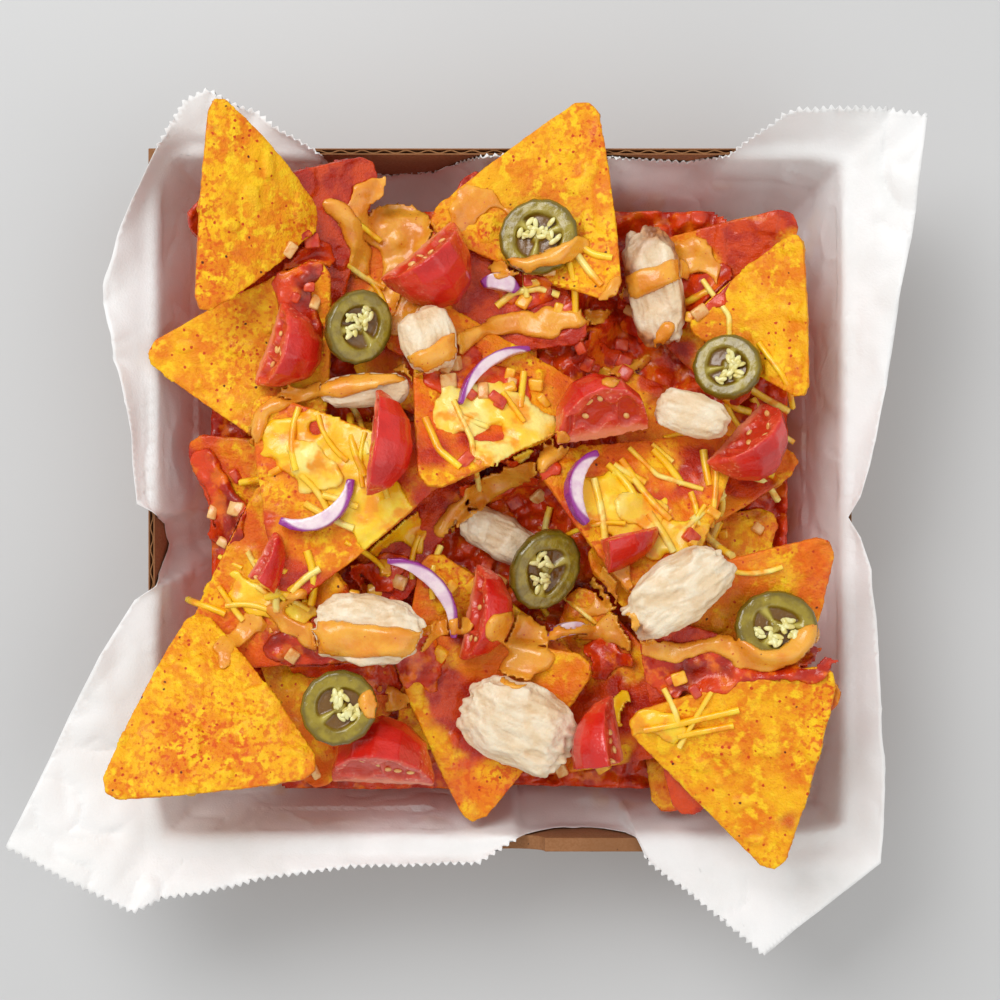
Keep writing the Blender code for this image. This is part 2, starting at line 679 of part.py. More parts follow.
def build_heap(surface):
    """The core: saucy filling from the liner up to the undersides of the rest."""
    steps = round(HEAP_SIDE / HEAP_CELL)
    half = HEAP_SIDE / 2
    reach = int(HEAP_CELL / PROBE) + 1
    low = PAPER_FLOOR + PAPER + PIECE_GAP
    drawn = random.Random("heap")
    heights = {}
    for i in range(steps + 1):
        for j in range(steps + 1):
            x, y = -half + i * HEAP_CELL, -half + j * HEAP_CELL
            a, b = surface.cell(x), surface.cell(y)
            near = surface.under[a - reach : a + reach + 1, b - reach : b + reach + 1]
            top = heap_level(x, y) + FILL + drawn.uniform(-1.5, 1.5)
            heights[i, j] = max(low + 4, min(top, near.min() - PIECE_GAP))
    bm = bmesh.new()
    top = {}
    for (i, j), z in heights.items():
        x, y = -half + i * HEAP_CELL, -half + j * HEAP_CELL
        inward = min(1.0, HEAP_CORNER / max(abs(x) + abs(y), 1e-3))
        top[i, j] = bm.verts.new((x * inward, y * inward, z))
    for i in range(steps):
        for j in range(steps):
            bm.faces.new((top[i, j], top[i + 1, j], top[i + 1, j + 1], top[i, j + 1]))
    border = [(i, 0) for i in range(steps)] + [(steps, j) for j in range(steps)]
    border += [(i, steps) for i in range(steps, 0, -1)] + [(0, j) for j in range(steps, 0, -1)]
    foot = []
    for key in border:
        corner = top[key].co
        foot.append(bm.verts.new((corner.x * FOOT_SHARE, corner.y * FOOT_SHARE, low)))
    for k, key in enumerate(border):
        after = (k + 1) % len(border)
        bm.faces.new((top[key], foot[k], foot[after], top[border[after]]))
    bm.faces.new(foot[::-1])
    return add_object("filling", bm, "salsa")


def main():
    clear_scene()
    surface = Surface(BOX_SIDE / 2 + 60)
    box = build_box()
    paper = build_paper()
    bpy.context.view_layer.update()
    graph = bpy.context.evaluated_depsgraph_get()
    for holder in (box, paper):
        bm = bmesh.new()
        bm.from_object(holder, graph)
        bmesh.ops.scale(bm, verts=bm.verts, vec=(1000, 1000, 1000))
        tree = BVHTree.FromBMesh(bm)
        points = [vert.co.copy() for vert in bm.verts]
        for i, j, z in surface.probes(tree, points, upward=False):
            surface.top[i, j] = max(surface.top[i, j], z)
        bm.free()
    for name in LAID:
        lay_piece(name, surface)
    build_heap(surface)


main()
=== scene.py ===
"""Looks of a box of loaded nachos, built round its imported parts.

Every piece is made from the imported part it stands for, so that it lies where
the part lies. Lengths in the code are millimetres unless a name says metres;
they become metres when a mesh is written.
"""

import logging
import math
from dataclasses import dataclass
from enum import Enum
from typing import Union

import bmesh
import bpy
import numpy as np
from mathutils import Matrix, Vector
from mathutils.bvhtree import BVHTree


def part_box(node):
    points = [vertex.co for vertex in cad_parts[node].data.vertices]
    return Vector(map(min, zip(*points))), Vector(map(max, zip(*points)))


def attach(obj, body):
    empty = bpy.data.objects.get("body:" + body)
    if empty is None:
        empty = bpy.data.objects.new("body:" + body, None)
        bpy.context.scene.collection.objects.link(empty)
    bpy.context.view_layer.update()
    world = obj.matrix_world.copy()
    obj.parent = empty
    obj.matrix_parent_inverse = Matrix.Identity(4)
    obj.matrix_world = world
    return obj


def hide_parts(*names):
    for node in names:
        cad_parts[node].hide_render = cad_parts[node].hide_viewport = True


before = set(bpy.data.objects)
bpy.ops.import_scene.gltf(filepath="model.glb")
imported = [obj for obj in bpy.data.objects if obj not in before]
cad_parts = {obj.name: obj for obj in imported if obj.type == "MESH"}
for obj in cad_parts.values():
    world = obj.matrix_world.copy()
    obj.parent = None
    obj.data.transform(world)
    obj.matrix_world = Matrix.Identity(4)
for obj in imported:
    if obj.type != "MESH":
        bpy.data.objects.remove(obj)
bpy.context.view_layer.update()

ROOT = "root"
MM = 0.001
FLUTE_PITCH_METRES = 0.0064

log = logging.getLogger("nachos")
Socket = bpy.types.NodeSocket
Given = Union[float, tuple, Socket]


# --- numbers ---------------------------------------------------------------
def srgb(red: int, green: int, blue: int) -> tuple[float, float, float, float]:
    """Turns a display colour, 0 to 255, into the linear one a shader takes.

    Args:
        red: red, 0 to 255.
        green: green, 0 to 255.
        blue: blue, 0 to 255.

    Returns:
        Red, green, blue and 1, each linear.
    """

    def linear(value: int) -> float:
        """One channel."""
        share = value / 255
        return share / 12.92 if share <= 0.04045 else ((share + 0.055) / 1.055) ** 2.4

    return linear(red), linear(green), linear(blue), 1.0


def ramp(low: float, high: float, value: np.ndarray) -> np.ndarray:
    """Rises smoothly from 0 at low to 1 at high."""
    share = np.clip((value - low) / (high - low), 0.0, 1.0)
    return share * share * (3 - 2 * share)


class Noise:
    """Repeatable noise on arrays of points, in millimetres."""

    @staticmethod
    def draw(cell: np.ndarray, seed: int) -> np.ndarray:
        """A fixed random number, 0 to 1, for each whole cell.

        Args:
            cell: whole cells, n by 3.
            seed: which numbers to draw.

        Returns:
            One number for each cell.
        """
        mix = np.uint64(seed * 7919 + 17)
        keys = cell.astype(np.int64).astype(np.uint64)
        for column, prime in zip(keys.T, (374761393, 668265263, 2246822519)):
            mix = (mix ^ (column * np.uint64(prime))) * np.uint64(6364136223846793005)
            mix = mix ^ (mix >> np.uint64(29))
        return (mix >> np.uint64(40)).astype(np.float64) / float(1 << 24)

    @classmethod
    def smooth(cls, points: np.ndarray, size: float, seed: int) -> np.ndarray:
        """Smooth noise from -1 to 1 with features about size across.

        Args:
            points: an array of points, n by 3.
            size: the width of a feature.
            seed: which noise to draw.

        Returns:
            One value for each point.
        """
        scaled = points / size + seed * 13.37
        cell = np.floor(scaled)
        part = scaled - cell
        part = part * part * (3 - 2 * part)
        total = np.zeros(len(points))
        for corner in range(8):
            step = np.array([corner & 1, corner >> 1 & 1, corner >> 2 & 1])
            weight = np.prod(np.where(step, part, 1 - part), axis=1)
            total += weight * cls.draw(cell + step, seed)
        return total * 2 - 1

    @classmethod
    def fractal(cls, points: np.ndarray, size: float, seed: int, octaves: int = 3) -> np.ndarray:
        """Sums ever finer layers of smooth noise, each half as strong.

        Args:
            points: points in millimetres, n by 3.
            size: the width of a feature in millimetres.
            seed: which noise to draw.
            octaves: how many layers.

        Returns:
            One value for each point.
        """
        total = np.zeros(len(points))
        for level in range(octaves):
            total += cls.smooth(points, size / 2**level, seed + level) / 2**level
        return total

    @classmethod
    def bumps(cls, points: np.ndarray, size: float, seed: int) -> np.ndarray:
        """Separate round bumps: 1 at each cell's own centre, 0 between them.

        Args:
            points: points in millimetres, n by 3.
            size: the width of a cell in millimetres.
            seed: which noise to draw.

        Returns:
            One value for each point, from 0 to 1.
        """
        scaled = points / size
        cell = np.floor(scaled)
        nearest = np.full(len(points), 9.0)
        for corner in range(27):
            step = np.array([corner % 3, corner // 3 % 3, corner // 9]) - 1.0
            home = cell + step
            spot = home + np.stack([cls.draw(home, seed + k) for k in (0, 1, 2)], axis=1)
            nearest = np.minimum(nearest, np.linalg.norm(scaled - spot, axis=1))
        return np.clip(1 - nearest / 0.8, 0, 1)


# --- meshes ----------------------------------------------------------------
def points_of(mesh: bpy.types.Mesh) -> np.ndarray:
    """The mesh's points in millimetres.

    Args:
        mesh: the mesh.

    Returns:
        An array, n by 3.
    """
    flat = np.empty(len(mesh.vertices) * 3)
    mesh.vertices.foreach_get("co", flat)
    return flat.reshape(-1, 3) / MM


def set_points(mesh: bpy.types.Mesh, points: np.ndarray) -> None:
    """Moves the mesh's points, given in millimetres."""
    mesh.vertices.foreach_set("co", (points * MM).ravel())
    mesh.update()


def normals_of(mesh: bpy.types.Mesh) -> np.ndarray:
    """The normal at each point of the mesh.

    Args:
        mesh: the mesh.

    Returns:
        An array, n by 3.
    """
    flat = np.empty(len(mesh.vertices) * 3)
    mesh.vertex_normals.foreach_get("vector", flat)
    return flat.reshape(-1, 3)


def set_mask(mesh: bpy.types.Mesh, name: str, values: np.ndarray) -> None:
    """Stores one number per point for a material to read."""
    layer = mesh.attributes.new(name, "FLOAT", "POINT")
    layer.data.foreach_set("value", np.clip(values, 0, 1).astype(np.float32))


def node_copy(node: str, piece: str) -> bpy.types.Object:
    """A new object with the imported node's mesh, its loose triangles joined.

    Args:
        node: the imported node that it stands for.
        piece: the new piece's name.

    Returns:
        The new object.
    """
    bm = bmesh.new()
    bm.from_mesh(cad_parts[node].data)
    bmesh.ops.remove_doubles(bm, verts=bm.verts, dist=1e-5)
    return object_from(bm, piece)


def object_from(bm: bmesh.types.BMesh, name: str) -> bpy.types.Object:
    """Writes a bmesh in metres into a new object at the origin.

    Args:
        bm: the bmesh, which is freed.
        name: its name.

    Returns:
        The new object.
    """
    mesh = bpy.data.meshes.new(name)
    bm.to_mesh(mesh)
    bm.free()
    obj = bpy.data.objects.new(name, mesh)
    bpy.context.scene.collection.objects.link(obj)
    return obj


def apply_modifiers(obj: bpy.types.Object) -> None:
    """Replaces the object's mesh with what its modifiers make of it.

    Args:
        obj: the object.
    """
    graph = bpy.context.evaluated_depsgraph_get()
    made = bpy.data.meshes.new_from_object(obj.evaluated_get(graph))
    obj.modifiers.clear()
    obj.data = made


def refine(obj: bpy.types.Object, voxel: float, rounds: int) -> None:
    """Gives the object an even, fine mesh and softens its facets.

    Args:
        obj: the object to refine.
        voxel: the width of its new faces.
        rounds: how many times it is smoothed.
    """
    grain = obj.modifiers.new("even", "REMESH")
    grain.mode = "VOXEL"
    grain.voxel_size = voxel * MM
    soft = obj.modifiers.new("soft", "SMOOTH")
    soft.factor = 0.6
    soft.iterations = rounds
    apply_modifiers(obj)


def shade_smooth(obj: bpy.types.Object) -> None:
    """Shades every face of the object smooth."""
    count = len(obj.data.polygons)
    obj.data.polygons.foreach_set("use_smooth", np.ones(count, dtype=bool))


def place_piece(obj: bpy.types.Object, material: bpy.types.Material, *nodes: str) -> None:
    """Dresses a piece, fixes it to the body and hides the nodes it stands for.

    Args:
        obj: the piece.
        material: its material.
        nodes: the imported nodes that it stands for.
    """
    obj.data.materials.clear()
    obj.data.materials.append(material)
    shade_smooth(obj)
    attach(obj, ROOT)
    if nodes:
        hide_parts(*nodes)
    log.info("%s: %d faces", obj.name, len(obj.data.polygons))


def principal_axes(points: np.ndarray) -> tuple[np.ndarray, np.ndarray]:
    """The middle of some points and their axes, from the longest to the shortest.

    Args:
        points: points in millimetres, n by 3.

    Returns:
        The middle, and three axes as rows.
    """
    middle = points.mean(axis=0)
    values, vectors = np.linalg.eigh(np.cov((points - middle).T))
    return middle, vectors[:, np.argsort(values)[::-1]].T


def flat_faces(obj: bpy.types.Object) -> list[tuple[float, np.ndarray, float]]:
    """The object's flat faces, the largest first.

    Args:
        obj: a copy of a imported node, still faceted.

    Returns:
        Area, normal and distance from the origin of each flat face.
    """
    groups: list[list] = []
    bm = bmesh.new()
    bm.from_mesh(obj.data)
    bm.normal_update()
    for face in bm.faces:
        normal = np.array(face.normal)
        offset = float(face.calc_center_median().dot(face.normal)) / MM
        area = face.calc_area() / MM**2
        for group in groups:
            if group[1] @ normal > 0.9995 and abs(group[2] - offset) < 0.05:
                group[0] += area
                break
        else:
            groups.append([area, normal, offset])
    bm.free()
    return sorted(((a, n, d) for a, n, d in groups), key=lambda group: -group[0])


# --- shading ---------------------------------------------------------------
class Shader:
    """Adds nodes to one material or one group, with few words for each."""

    def __init__(self, tree: bpy.types.NodeTree) -> None:
        """Takes the tree that the nodes go into."""
        self.tree = tree

    def node(self, kind: str, **inputs: Given) -> bpy.types.Node:
        """Adds a node.

        Args:
            kind: the node's type, without its ShaderNode prefix.
            inputs: a socket's name, its spaces as underscores, and what it
                gets: an output socket or a plain value.

        Returns:
            The new node.
        """
        made = self.tree.nodes.new("ShaderNode" + kind)
        for name, value in inputs.items():
            self.feed(made.inputs[name.replace("_", " ")], value)
        return made

    def feed(self, socket: Socket, value: Given) -> None:
        """Links an output to the socket, or sets its value.

        Args:
            socket: the input to feed.
            value: an output to link, or a plain value.
        """
        if isinstance(value, bpy.types.NodeSocket):
            self.tree.links.new(value, socket)
        else:
            socket.default_value = value

    def mix(self, share: Given, low: Given, high: Given) -> Socket:
        """A colour between two, by a mask.

        Args:
            share: the mask.
            low: the colour or value where the mask is 0.
            high: the one where the mask is 1.

        Returns:
            The mixed colour.
        """
        made = self.tree.nodes.new("ShaderNodeMix")
        made.data_type = "RGBA"
        self.feed(made.inputs[0], share)
        self.feed(made.inputs[6], low)
        self.feed(made.inputs[7], high)
        return made.outputs[2]

    def math(self, operation: str, first: Given, second: Given = 0.0) -> Socket:
        """One arithmetic step on two values.

        Args:
            operation: the kind of step.
            first: the first value.
            second: the second value.

        Returns:
            The result.
        """
        made = self.tree.nodes.new("ShaderNodeMath")
        made.operation = operation
        self.feed(made.inputs[0], first)
        self.feed(made.inputs[1], second)
        return made.outputs[0]

    def between(
        self, value: Given, low: Given, high: Given, start: Given = 0.0, end: Given = 1.0
    ) -> Socket:
        """Maps a value smoothly from one range to another.

        Args:
            value: what is mapped.
            low: the lower end.
            high: the upper end.
            start: what the lower one becomes.
            end: what the higher one becomes.

        Returns:
            The mapped value.
        """
        made = self.tree.nodes.new("ShaderNodeMapRange")
        made.interpolation_type = "SMOOTHSTEP"
        for socket, given in zip(made.inputs, (value, low, high, start, end)):
            self.feed(socket, given)
        return made.outputs[0]

    def mask(self, name: str) -> Socket:
        """The numbers stored on the mesh under a name.

        Args:
            name: the name.

        Returns:
            The output with the numbers.
        """
        made = self.tree.nodes.new("ShaderNodeAttribute")
        made.attribute_name = name
        return made.outputs["Fac"]


class Groups:
    """Shader node groups that several finishes share, each built once."""

    made: dict[str, bpy.types.NodeTree] = {}

    @classmethod
    def start(cls, name: str, inputs: dict[str, float]) -> tuple[Shader, dict]:
        """Opens a new group with number inputs and one Mask output.

        Args:
            name: its name.
            inputs: the group's inputs and their usual values.

        Returns:
            A shader for the group, and its inputs by name.
        """
        tree = bpy.data.node_groups.new(name, "ShaderNodeTree")
        for label, value in inputs.items():
            socket = tree.interface.new_socket(
                label, in_out="INPUT", socket_type="NodeSocketFloat"
            )
            socket.default_value = value
        tree.interface.new_socket("Mask", in_out="OUTPUT", socket_type="NodeSocketFloat")
        cls.made[name] = tree
        entry = tree.nodes.new("NodeGroupInput")
        return Shader(tree), {label: entry.outputs[label] for label in inputs}

    @classmethod
    def patches(cls) -> bpy.types.NodeTree:
        """Soft uneven patches: noise cut between two levels.

        Returns:
            The shared group.
        """
        if "Patches" not in cls.made:
            shader, given = cls.start(
                "Patches", {"Scale": 200.0, "Detail": 3.0, "Low": 0.45, "High": 0.6, "Shift": 0.0}
            )
            place = shader.node("TexCoord").outputs["Object"]
            moved = shader.node("VectorMath")
            shader.feed(moved.inputs[0], place)
            shader.feed(moved.inputs[1], given["Shift"])
            grain = shader.node(
                "TexNoise", Vector=moved.outputs[0], Scale=given["Scale"], Detail=given["Detail"]
            )
            cut = shader.between(grain.outputs["Fac"], given["Low"], given["High"])
            exit_node = shader.tree.nodes.new("NodeGroupOutput")
            shader.feed(exit_node.inputs["Mask"], cut)
        return cls.made["Patches"]

    @classmethod
    def specks(cls) -> bpy.types.NodeTree:
        """Small round specks on a share of the cells.

        Returns:
            The shared group.
        """
        if "Specks" not in cls.made:
            shader, given = cls.start("Specks", {"Scale": 400.0, "Size": 0.2, "Share": 0.4})
            place = shader.node("TexCoord").outputs["Object"]
            warp = shader.node("TexNoise", Vector=place, Scale=900.0, Detail=1.0)
            bent = shader.node("VectorMath")
            bent.operation = "MULTIPLY_ADD"
            shader.feed(bent.inputs[0], warp.outputs["Color"])
            shader.feed(bent.inputs[1], (0.0006, 0.0006, 0.0006))
            shader.feed(bent.inputs[2], place)
            cells = shader.node("TexVoronoi", Vector=bent.outputs[0], Scale=given["Scale"])
            near = shader.between(
                cells.outputs["Distance"], given["Size"], shader.math("MULTIPLY", given["Size"], 0.5)
            )
            split = shader.node("SeparateColor", Color=cells.outputs["Color"])
            chosen = shader.math("LESS_THAN", split.outputs[0], given["Share"])
            exit_node = shader.tree.nodes.new("NodeGroupOutput")
            shader.feed(exit_node.inputs["Mask"], shader.math("MULTIPLY", near, chosen))
        return cls.made["Specks"]


class Finish:
    """Base of every finish: one material with the nodes it needs."""

    def __init__(self, name: str) -> None:
        """Starts a material with a plain Principled shader.

        Args:
            name: its name.
        """
        self.material = bpy.data.materials.new(name)
        self.material.use_nodes = True
        self.shader = Shader(self.material.node_tree)
        self.surface = self.material.node_tree.nodes["Principled BSDF"]

    def patches(
        self, scale: float, low: float, high: float, detail: float = 3.0, shift: float = 0.0
    ) -> Socket:
        """A patch mask from the shared group.

        Args:
            scale: features for each metre.
            low: the noise where the mask begins.
            high: the noise where it is full.
            detail: how many finer layers.
            shift: moves the noise, so that layers differ.

        Returns:
            The mask.
        """
        made = self.shader.tree.nodes.new("ShaderNodeGroup")
        made.node_tree = Groups.patches()
        given = {"Scale": scale, "Detail": detail, "Low": low, "High": high, "Shift": shift}
        for name, value in given.items():
            made.inputs[name].default_value = value
        return made.outputs["Mask"]

    def specks(self, scale: float, size: float, share: float) -> Socket:
        """A speck mask from the shared group.

        Args:
            scale: features for each metre.
            size: the width of a speck, against its cell.
            share: the share of cells that hold one.

        Returns:
            The mask.
        """
        made = self.shader.tree.nodes.new("ShaderNodeGroup")
        made.node_tree = Groups.specks()
        for name, value in {"Scale": scale, "Size": size, "Share": share}.items():
            made.inputs[name].default_value = value
        return made.outputs["Mask"]

    def set(self, **values: Given) -> None:
        """Sets or links sockets of the surface, spaces written as underscores."""
        for name, value in values.items():
            self.shader.feed(self.surface.inputs[name.replace("_", " ")], value)

    def bump(self, height: Socket, depth: float) -> None:
        """Adds fine relief to the surface, its depth in millimetres.

        Args:
            height: the relief, from 0 to 1.
            depth: its depth in millimetres.
        """
        made = self.shader.node("Bump", Height=height)
        made.inputs["Distance"].default_value = depth * MM
        made.inputs["Strength"].default_value = 1.0
        self.set(Normal=made.outputs["Normal"])

    def soft(self, weight: float, radius: tuple[float, float, float]) -> None:
        """Lets a little light into the surface.

        Args:
            weight: how much light goes in.
            radius: how far each colour goes, against the rest.
        """
        self.surface.inputs["Subsurface Weight"].default_value = weight
        self.surface.inputs["Subsurface Scale"].default_value = 1.5 * MM
        self.surface.inputs["Subsurface Radius"].default_value = radius


def chip_finish() -> bpy.types.Material:
    """Fried corn chip: golden, seasoned orange, with blisters and sauce.

    Returns:
        The material.
    """
    made = Finish("corn_chip")
    mix, mask, product = made.shader.mix, made.shader.mask, made.shader.math
    colour = mix(made.patches(95, 0.38, 0.62), srgb(250, 186, 6), srgb(236, 136, 2))
    colour = mix(made.patches(300, 0.5, 0.64, shift=3.0), colour, srgb(254, 206, 22))
    colour = mix(mask("blister"), colour, srgb(254, 204, 26))
    stain = product("MULTIPLY", made.patches(70, 0.36, 0.62, shift=15.0), mask("stain"))
    colour = mix(stain, colour, srgb(232, 96, 6))
    season = product("MULTIPLY", made.patches(700, 0.48, 0.62, detail=4, shift=7.0), mask("season"))
    colour = mix(season, colour, srgb(222, 84, 6))
    colour = mix(made.specks(520, 0.3, 0.2), colour, srgb(204, 62, 8))
    colour = mix(made.specks(330, 0.16, 0.16), colour, srgb(92, 26, 8))
    colour = mix(mask("rim"), colour, srgb(214, 104, 10))
    oil = made.patches(160, 0.42, 0.62, shift=11.0)
    colour = mix(mask("sauce"), colour, mix(oil, srgb(218, 70, 6), srgb(182, 36, 4)))
    made.set(Base_Color=colour)
    glaze = product("MULTIPLY", oil, product("ADD", product("MULTIPLY", mask("stain"), 0.5), 0.1))
    wet = product("MAXIMUM", mask("sauce"), glaze)
    made.set(Roughness=made.shader.between(wet, 0.0, 1.0, 0.5, 0.22))
    made.set(Coat_Weight=product("MULTIPLY", wet, 0.4))
    made.surface.inputs["Coat Roughness"].default_value = 0.15
    made.surface.inputs["Specular IOR Level"].default_value = 0.3
    made.bump(made.patches(1500, 0.35, 0.65, detail=4), 0.12)
    made.soft(0.06, (1.0, 0.5, 0.2))
    return made.material


def salsa_finish() -> bpy.types.Material:
    """Red-brown salsa with oily orange edges and paler bits.

    Returns:
        The material.
    """
    made = Finish("salsa")
    mix = made.shader.mix
    colour = mix(made.patches(120, 0.4, 0.62), srgb(222, 66, 10), srgb(180, 34, 6))
    colour = mix(made.patches(190, 0.5, 0.64, shift=5.0), colour, srgb(236, 112, 16))
    colour = mix(made.shader.mask("lump"), colour, srgb(224, 66, 14))
    colour = mix(made.specks(420, 0.26, 0.16), colour, srgb(232, 130, 40))
    colour = mix(made.patches(60, 0.56, 0.7, shift=21.0), colour, srgb(132, 22, 6))
    made.set(Base_Color=colour)
    made.set(Roughness=made.shader.between(made.patches(300, 0.3, 0.7), 0.0, 1.0, 0.16, 0.34))
    made.surface.inputs["Coat Weight"].default_value = 0.3
    made.surface.inputs["Coat Roughness"].default_value = 0.1
    made.surface.inputs["Specular IOR Level"].default_value = 0.4
    made.bump(made.patches(900, 0.35, 0.65), 0.08)
    made.soft(0.15, (1.0, 0.25, 0.1))
    return made.material


def drizzle_finish() -> bpy.types.Material:
    """Smooth orange chilli mayonnaise with tiny red and dark flecks.

    Returns:
        The material.
    """
    made = Finish("chilli_mayonnaise")
    mix = made.shader.mix
    colour = mix(made.patches(140, 0.4, 0.62), srgb(242, 170, 54), srgb(232, 144, 34))
    colour = mix(made.specks(700, 0.24, 0.16), colour, srgb(206, 84, 26))
    colour = mix(made.specks(420, 0.12, 0.12), colour, srgb(120, 46, 20))
    made.set(Base_Color=colour)
    made.set(Roughness=made.shader.between(made.patches(260, 0.3, 0.7), 0.0, 1.0, 0.18, 0.34))
    made.surface.inputs["Coat Weight"].default_value = 0.35
    made.surface.inputs["Coat Roughness"].default_value = 0.12
    made.bump(made.patches(800, 0.35, 0.65), 0.05)
    made.soft(0.15, (1.0, 0.6, 0.3))
    return made.material


def cheese_finish(name: str, warm: tuple, pale: tuple) -> bpy.types.Material:
    """Melted cheese, from one colour to a paler one where it is thick.

    Args:
        name: its name.
        warm: its main colour.
        pale: its paler colour.

    Returns:
        The material.
    """
    made = Finish(name)
    mix = made.shader.mix
    colour = mix(made.patches(110, 0.42, 0.62, shift=2.0), warm, pale)
    colour = mix(made.patches(150, 0.5, 0.66, shift=9.0), colour, srgb(248, 160, 16))
    made.set(Base_Color=colour)
    made.set(Roughness=made.shader.between(made.patches(240, 0.3, 0.7), 0.0, 1.0, 0.22, 0.4))
    made.surface.inputs["Coat Weight"].default_value = 0.35
    made.surface.inputs["Coat Roughness"].default_value = 0.15
    made.bump(made.patches(700, 0.35, 0.65), 0.06)
    made.soft(0.18, (1.0, 0.7, 0.35))
    return made.material


def tomato_finish() -> bpy.types.Material:
    """Tomato: glossy red skin, paler wet flesh, orange-red seed pockets.

    Returns:
        The material.
    """
    made = Finish("tomato")
    mix, mask = made.shader.mix, made.shader.mask
    flesh = mix(made.patches(320, 0.4, 0.65), srgb(226, 76, 48), srgb(212, 52, 32))
    flesh = mix(made.patches(900, 0.55, 0.72, shift=4.0), flesh, srgb(240, 142, 110))
    colour = mix(mask("pith"), flesh, srgb(240, 150, 112))
    colour = mix(mask("gel"), colour, srgb(206, 52, 26))
    skin = mix(made.patches(90, 0.4, 0.65), srgb(222, 38, 26), srgb(200, 24, 16))
    colour = mix(mask("skin"), colour, skin)
    made.set(Base_Color=colour)
    made.set(Roughness=made.shader.between(mask("skin"), 0.0, 1.0, 0.26, 0.14))
    made.surface.inputs["Coat Weight"].default_value = 0.4
    made.surface.inputs["Coat Roughness"].default_value = 0.08
    made.bump(made.patches(1100, 0.35, 0.65), 0.06)
    made.soft(0.16, (1.0, 0.3, 0.15))
    return made.material


def jalapeno_finish() -> bpy.types.Material:
    """Pickled green pepper: olive skin, yellow-green flesh, painted shade in its sunken chambers.

    Returns:
        The material.
    """
    made = Finish("jalapeno")
    mix, mask = made.shader.mix, made.shader.mask
    flesh = mix(made.patches(260, 0.4, 0.65), srgb(158, 138, 36), srgb(132, 112, 26))
    # painted shade: the sunken seed chambers are darkened to olive brown
    colour = mix(mask("chamber"), flesh, srgb(116, 78, 18))
    colour = mix(mask("membrane"), colour, srgb(186, 170, 72))
    colour = mix(mask("rim"), colour, srgb(112, 94, 20))
    skin = mix(made.patches(150, 0.4, 0.65), srgb(92, 82, 16), srgb(116, 94, 20))
    colour = mix(mask("skin"), colour, skin)
    made.set(Base_Color=colour)
    made.set(Roughness=made.shader.between(made.patches(300, 0.3, 0.7), 0.0, 1.0, 0.14, 0.28))
    made.surface.inputs["Coat Weight"].default_value = 0.4
    made.surface.inputs["Coat Roughness"].default_value = 0.1
    made.bump(made.patches(900, 0.35, 0.65), 0.05)
    made.soft(0.14, (0.8, 0.9, 0.2))
    return made.material


def seed_finish(name: str, pale: tuple, deep: tuple) -> bpy.types.Material:
    """Small wet seeds.

    Args:
        name: its name.
        pale: its paler colour.
        deep: its deeper colour.

    Returns:
        The material.
    """
    made = Finish(name)
    made.set(Base_Color=made.shader.mix(made.patches(500, 0.4, 0.65), pale, deep))
    made.set(Roughness=made.shader.between(made.patches(700, 0.3, 0.7), 0.0, 1.0, 0.2, 0.34))
    made.surface.inputs["Coat Weight"].default_value = 0.3
    made.soft(0.1, (1.0, 0.8, 0.4))
    return made.material


def chicken_finish() -> bpy.types.Material:
    """Roast chicken: creamy torn fibres with painted shade in their grooves, and browned outer patches.

    Returns:
        The material.
    """
    made = Finish("chicken")
    mix, mask = made.shader.mix, made.shader.mask
    meat = mix(made.patches(160, 0.4, 0.64), srgb(240, 224, 196), srgb(232, 206, 168))
    # painted shade: the groove mask darkens the sunken fibre gaps and torn hollows to tan
    meat = mix(mask("groove"), meat, srgb(218, 182, 136))
    browned = mix(made.patches(300, 0.4, 0.62, shift=6.0), srgb(196, 124, 64), srgb(142, 76, 34))
    made.set(Base_Color=mix(mask("brown"), meat, browned))
    made.set(Roughness=made.shader.between(made.patches(260, 0.3, 0.7), 0.0, 1.0, 0.34, 0.5))
    made.surface.inputs["Coat Weight"].default_value = 0.15
    made.surface.inputs["Coat Roughness"].default_value = 0.25
    made.bump(made.patches(1100, 0.35, 0.65), 0.08)
    made.soft(0.14, (1.0, 0.7, 0.5))
    return made.material


def onion_finish() -> bpy.types.Material:
    """Red onion: white, glassy, with a purple outer skin.

    Returns:
        The material.
    """
    made = Finish("red_onion")
    mix, mask = made.shader.mix, made.shader.mask
    white = mix(made.patches(260, 0.4, 0.65), srgb(240, 222, 226), srgb(226, 196, 214))
    made.set(Base_Color=mix(mask("outer"), white, srgb(152, 48, 146)))
    made.set(Roughness=made.shader.between(made.patches(300, 0.3, 0.7), 0.0, 1.0, 0.16, 0.3))
    made.surface.inputs["Coat Weight"].default_value = 0.4
    made.surface.inputs["Coat Roughness"].default_value = 0.1
    made.bump(made.patches(900, 0.35, 0.65), 0.04)
    made.soft(0.18, (1.0, 0.8, 1.0))
    return made.material


def paper_finish() -> bpy.types.Material:
    """White greaseproof paper with faint cloudy fibres and grease marks.

    Returns:
        The material.
    """
    made = Finish("greaseproof_paper")
    mix = made.shader.mix
    colour = mix(made.patches(60, 0.35, 0.7, detail=6), srgb(246, 246, 246), srgb(240, 240, 239))
    colour = mix(made.shader.mask("grease"), colour, srgb(238, 214, 176))
    made.set(Base_Color=colour)
    made.set(Roughness=made.shader.between(made.patches(120, 0.3, 0.7), 0.0, 1.0, 0.42, 0.6))
    made.bump(made.patches(1600, 0.3, 0.7, detail=4), 0.03)
    made.soft(0.1, (1.0, 1.0, 1.0))
    return made.material


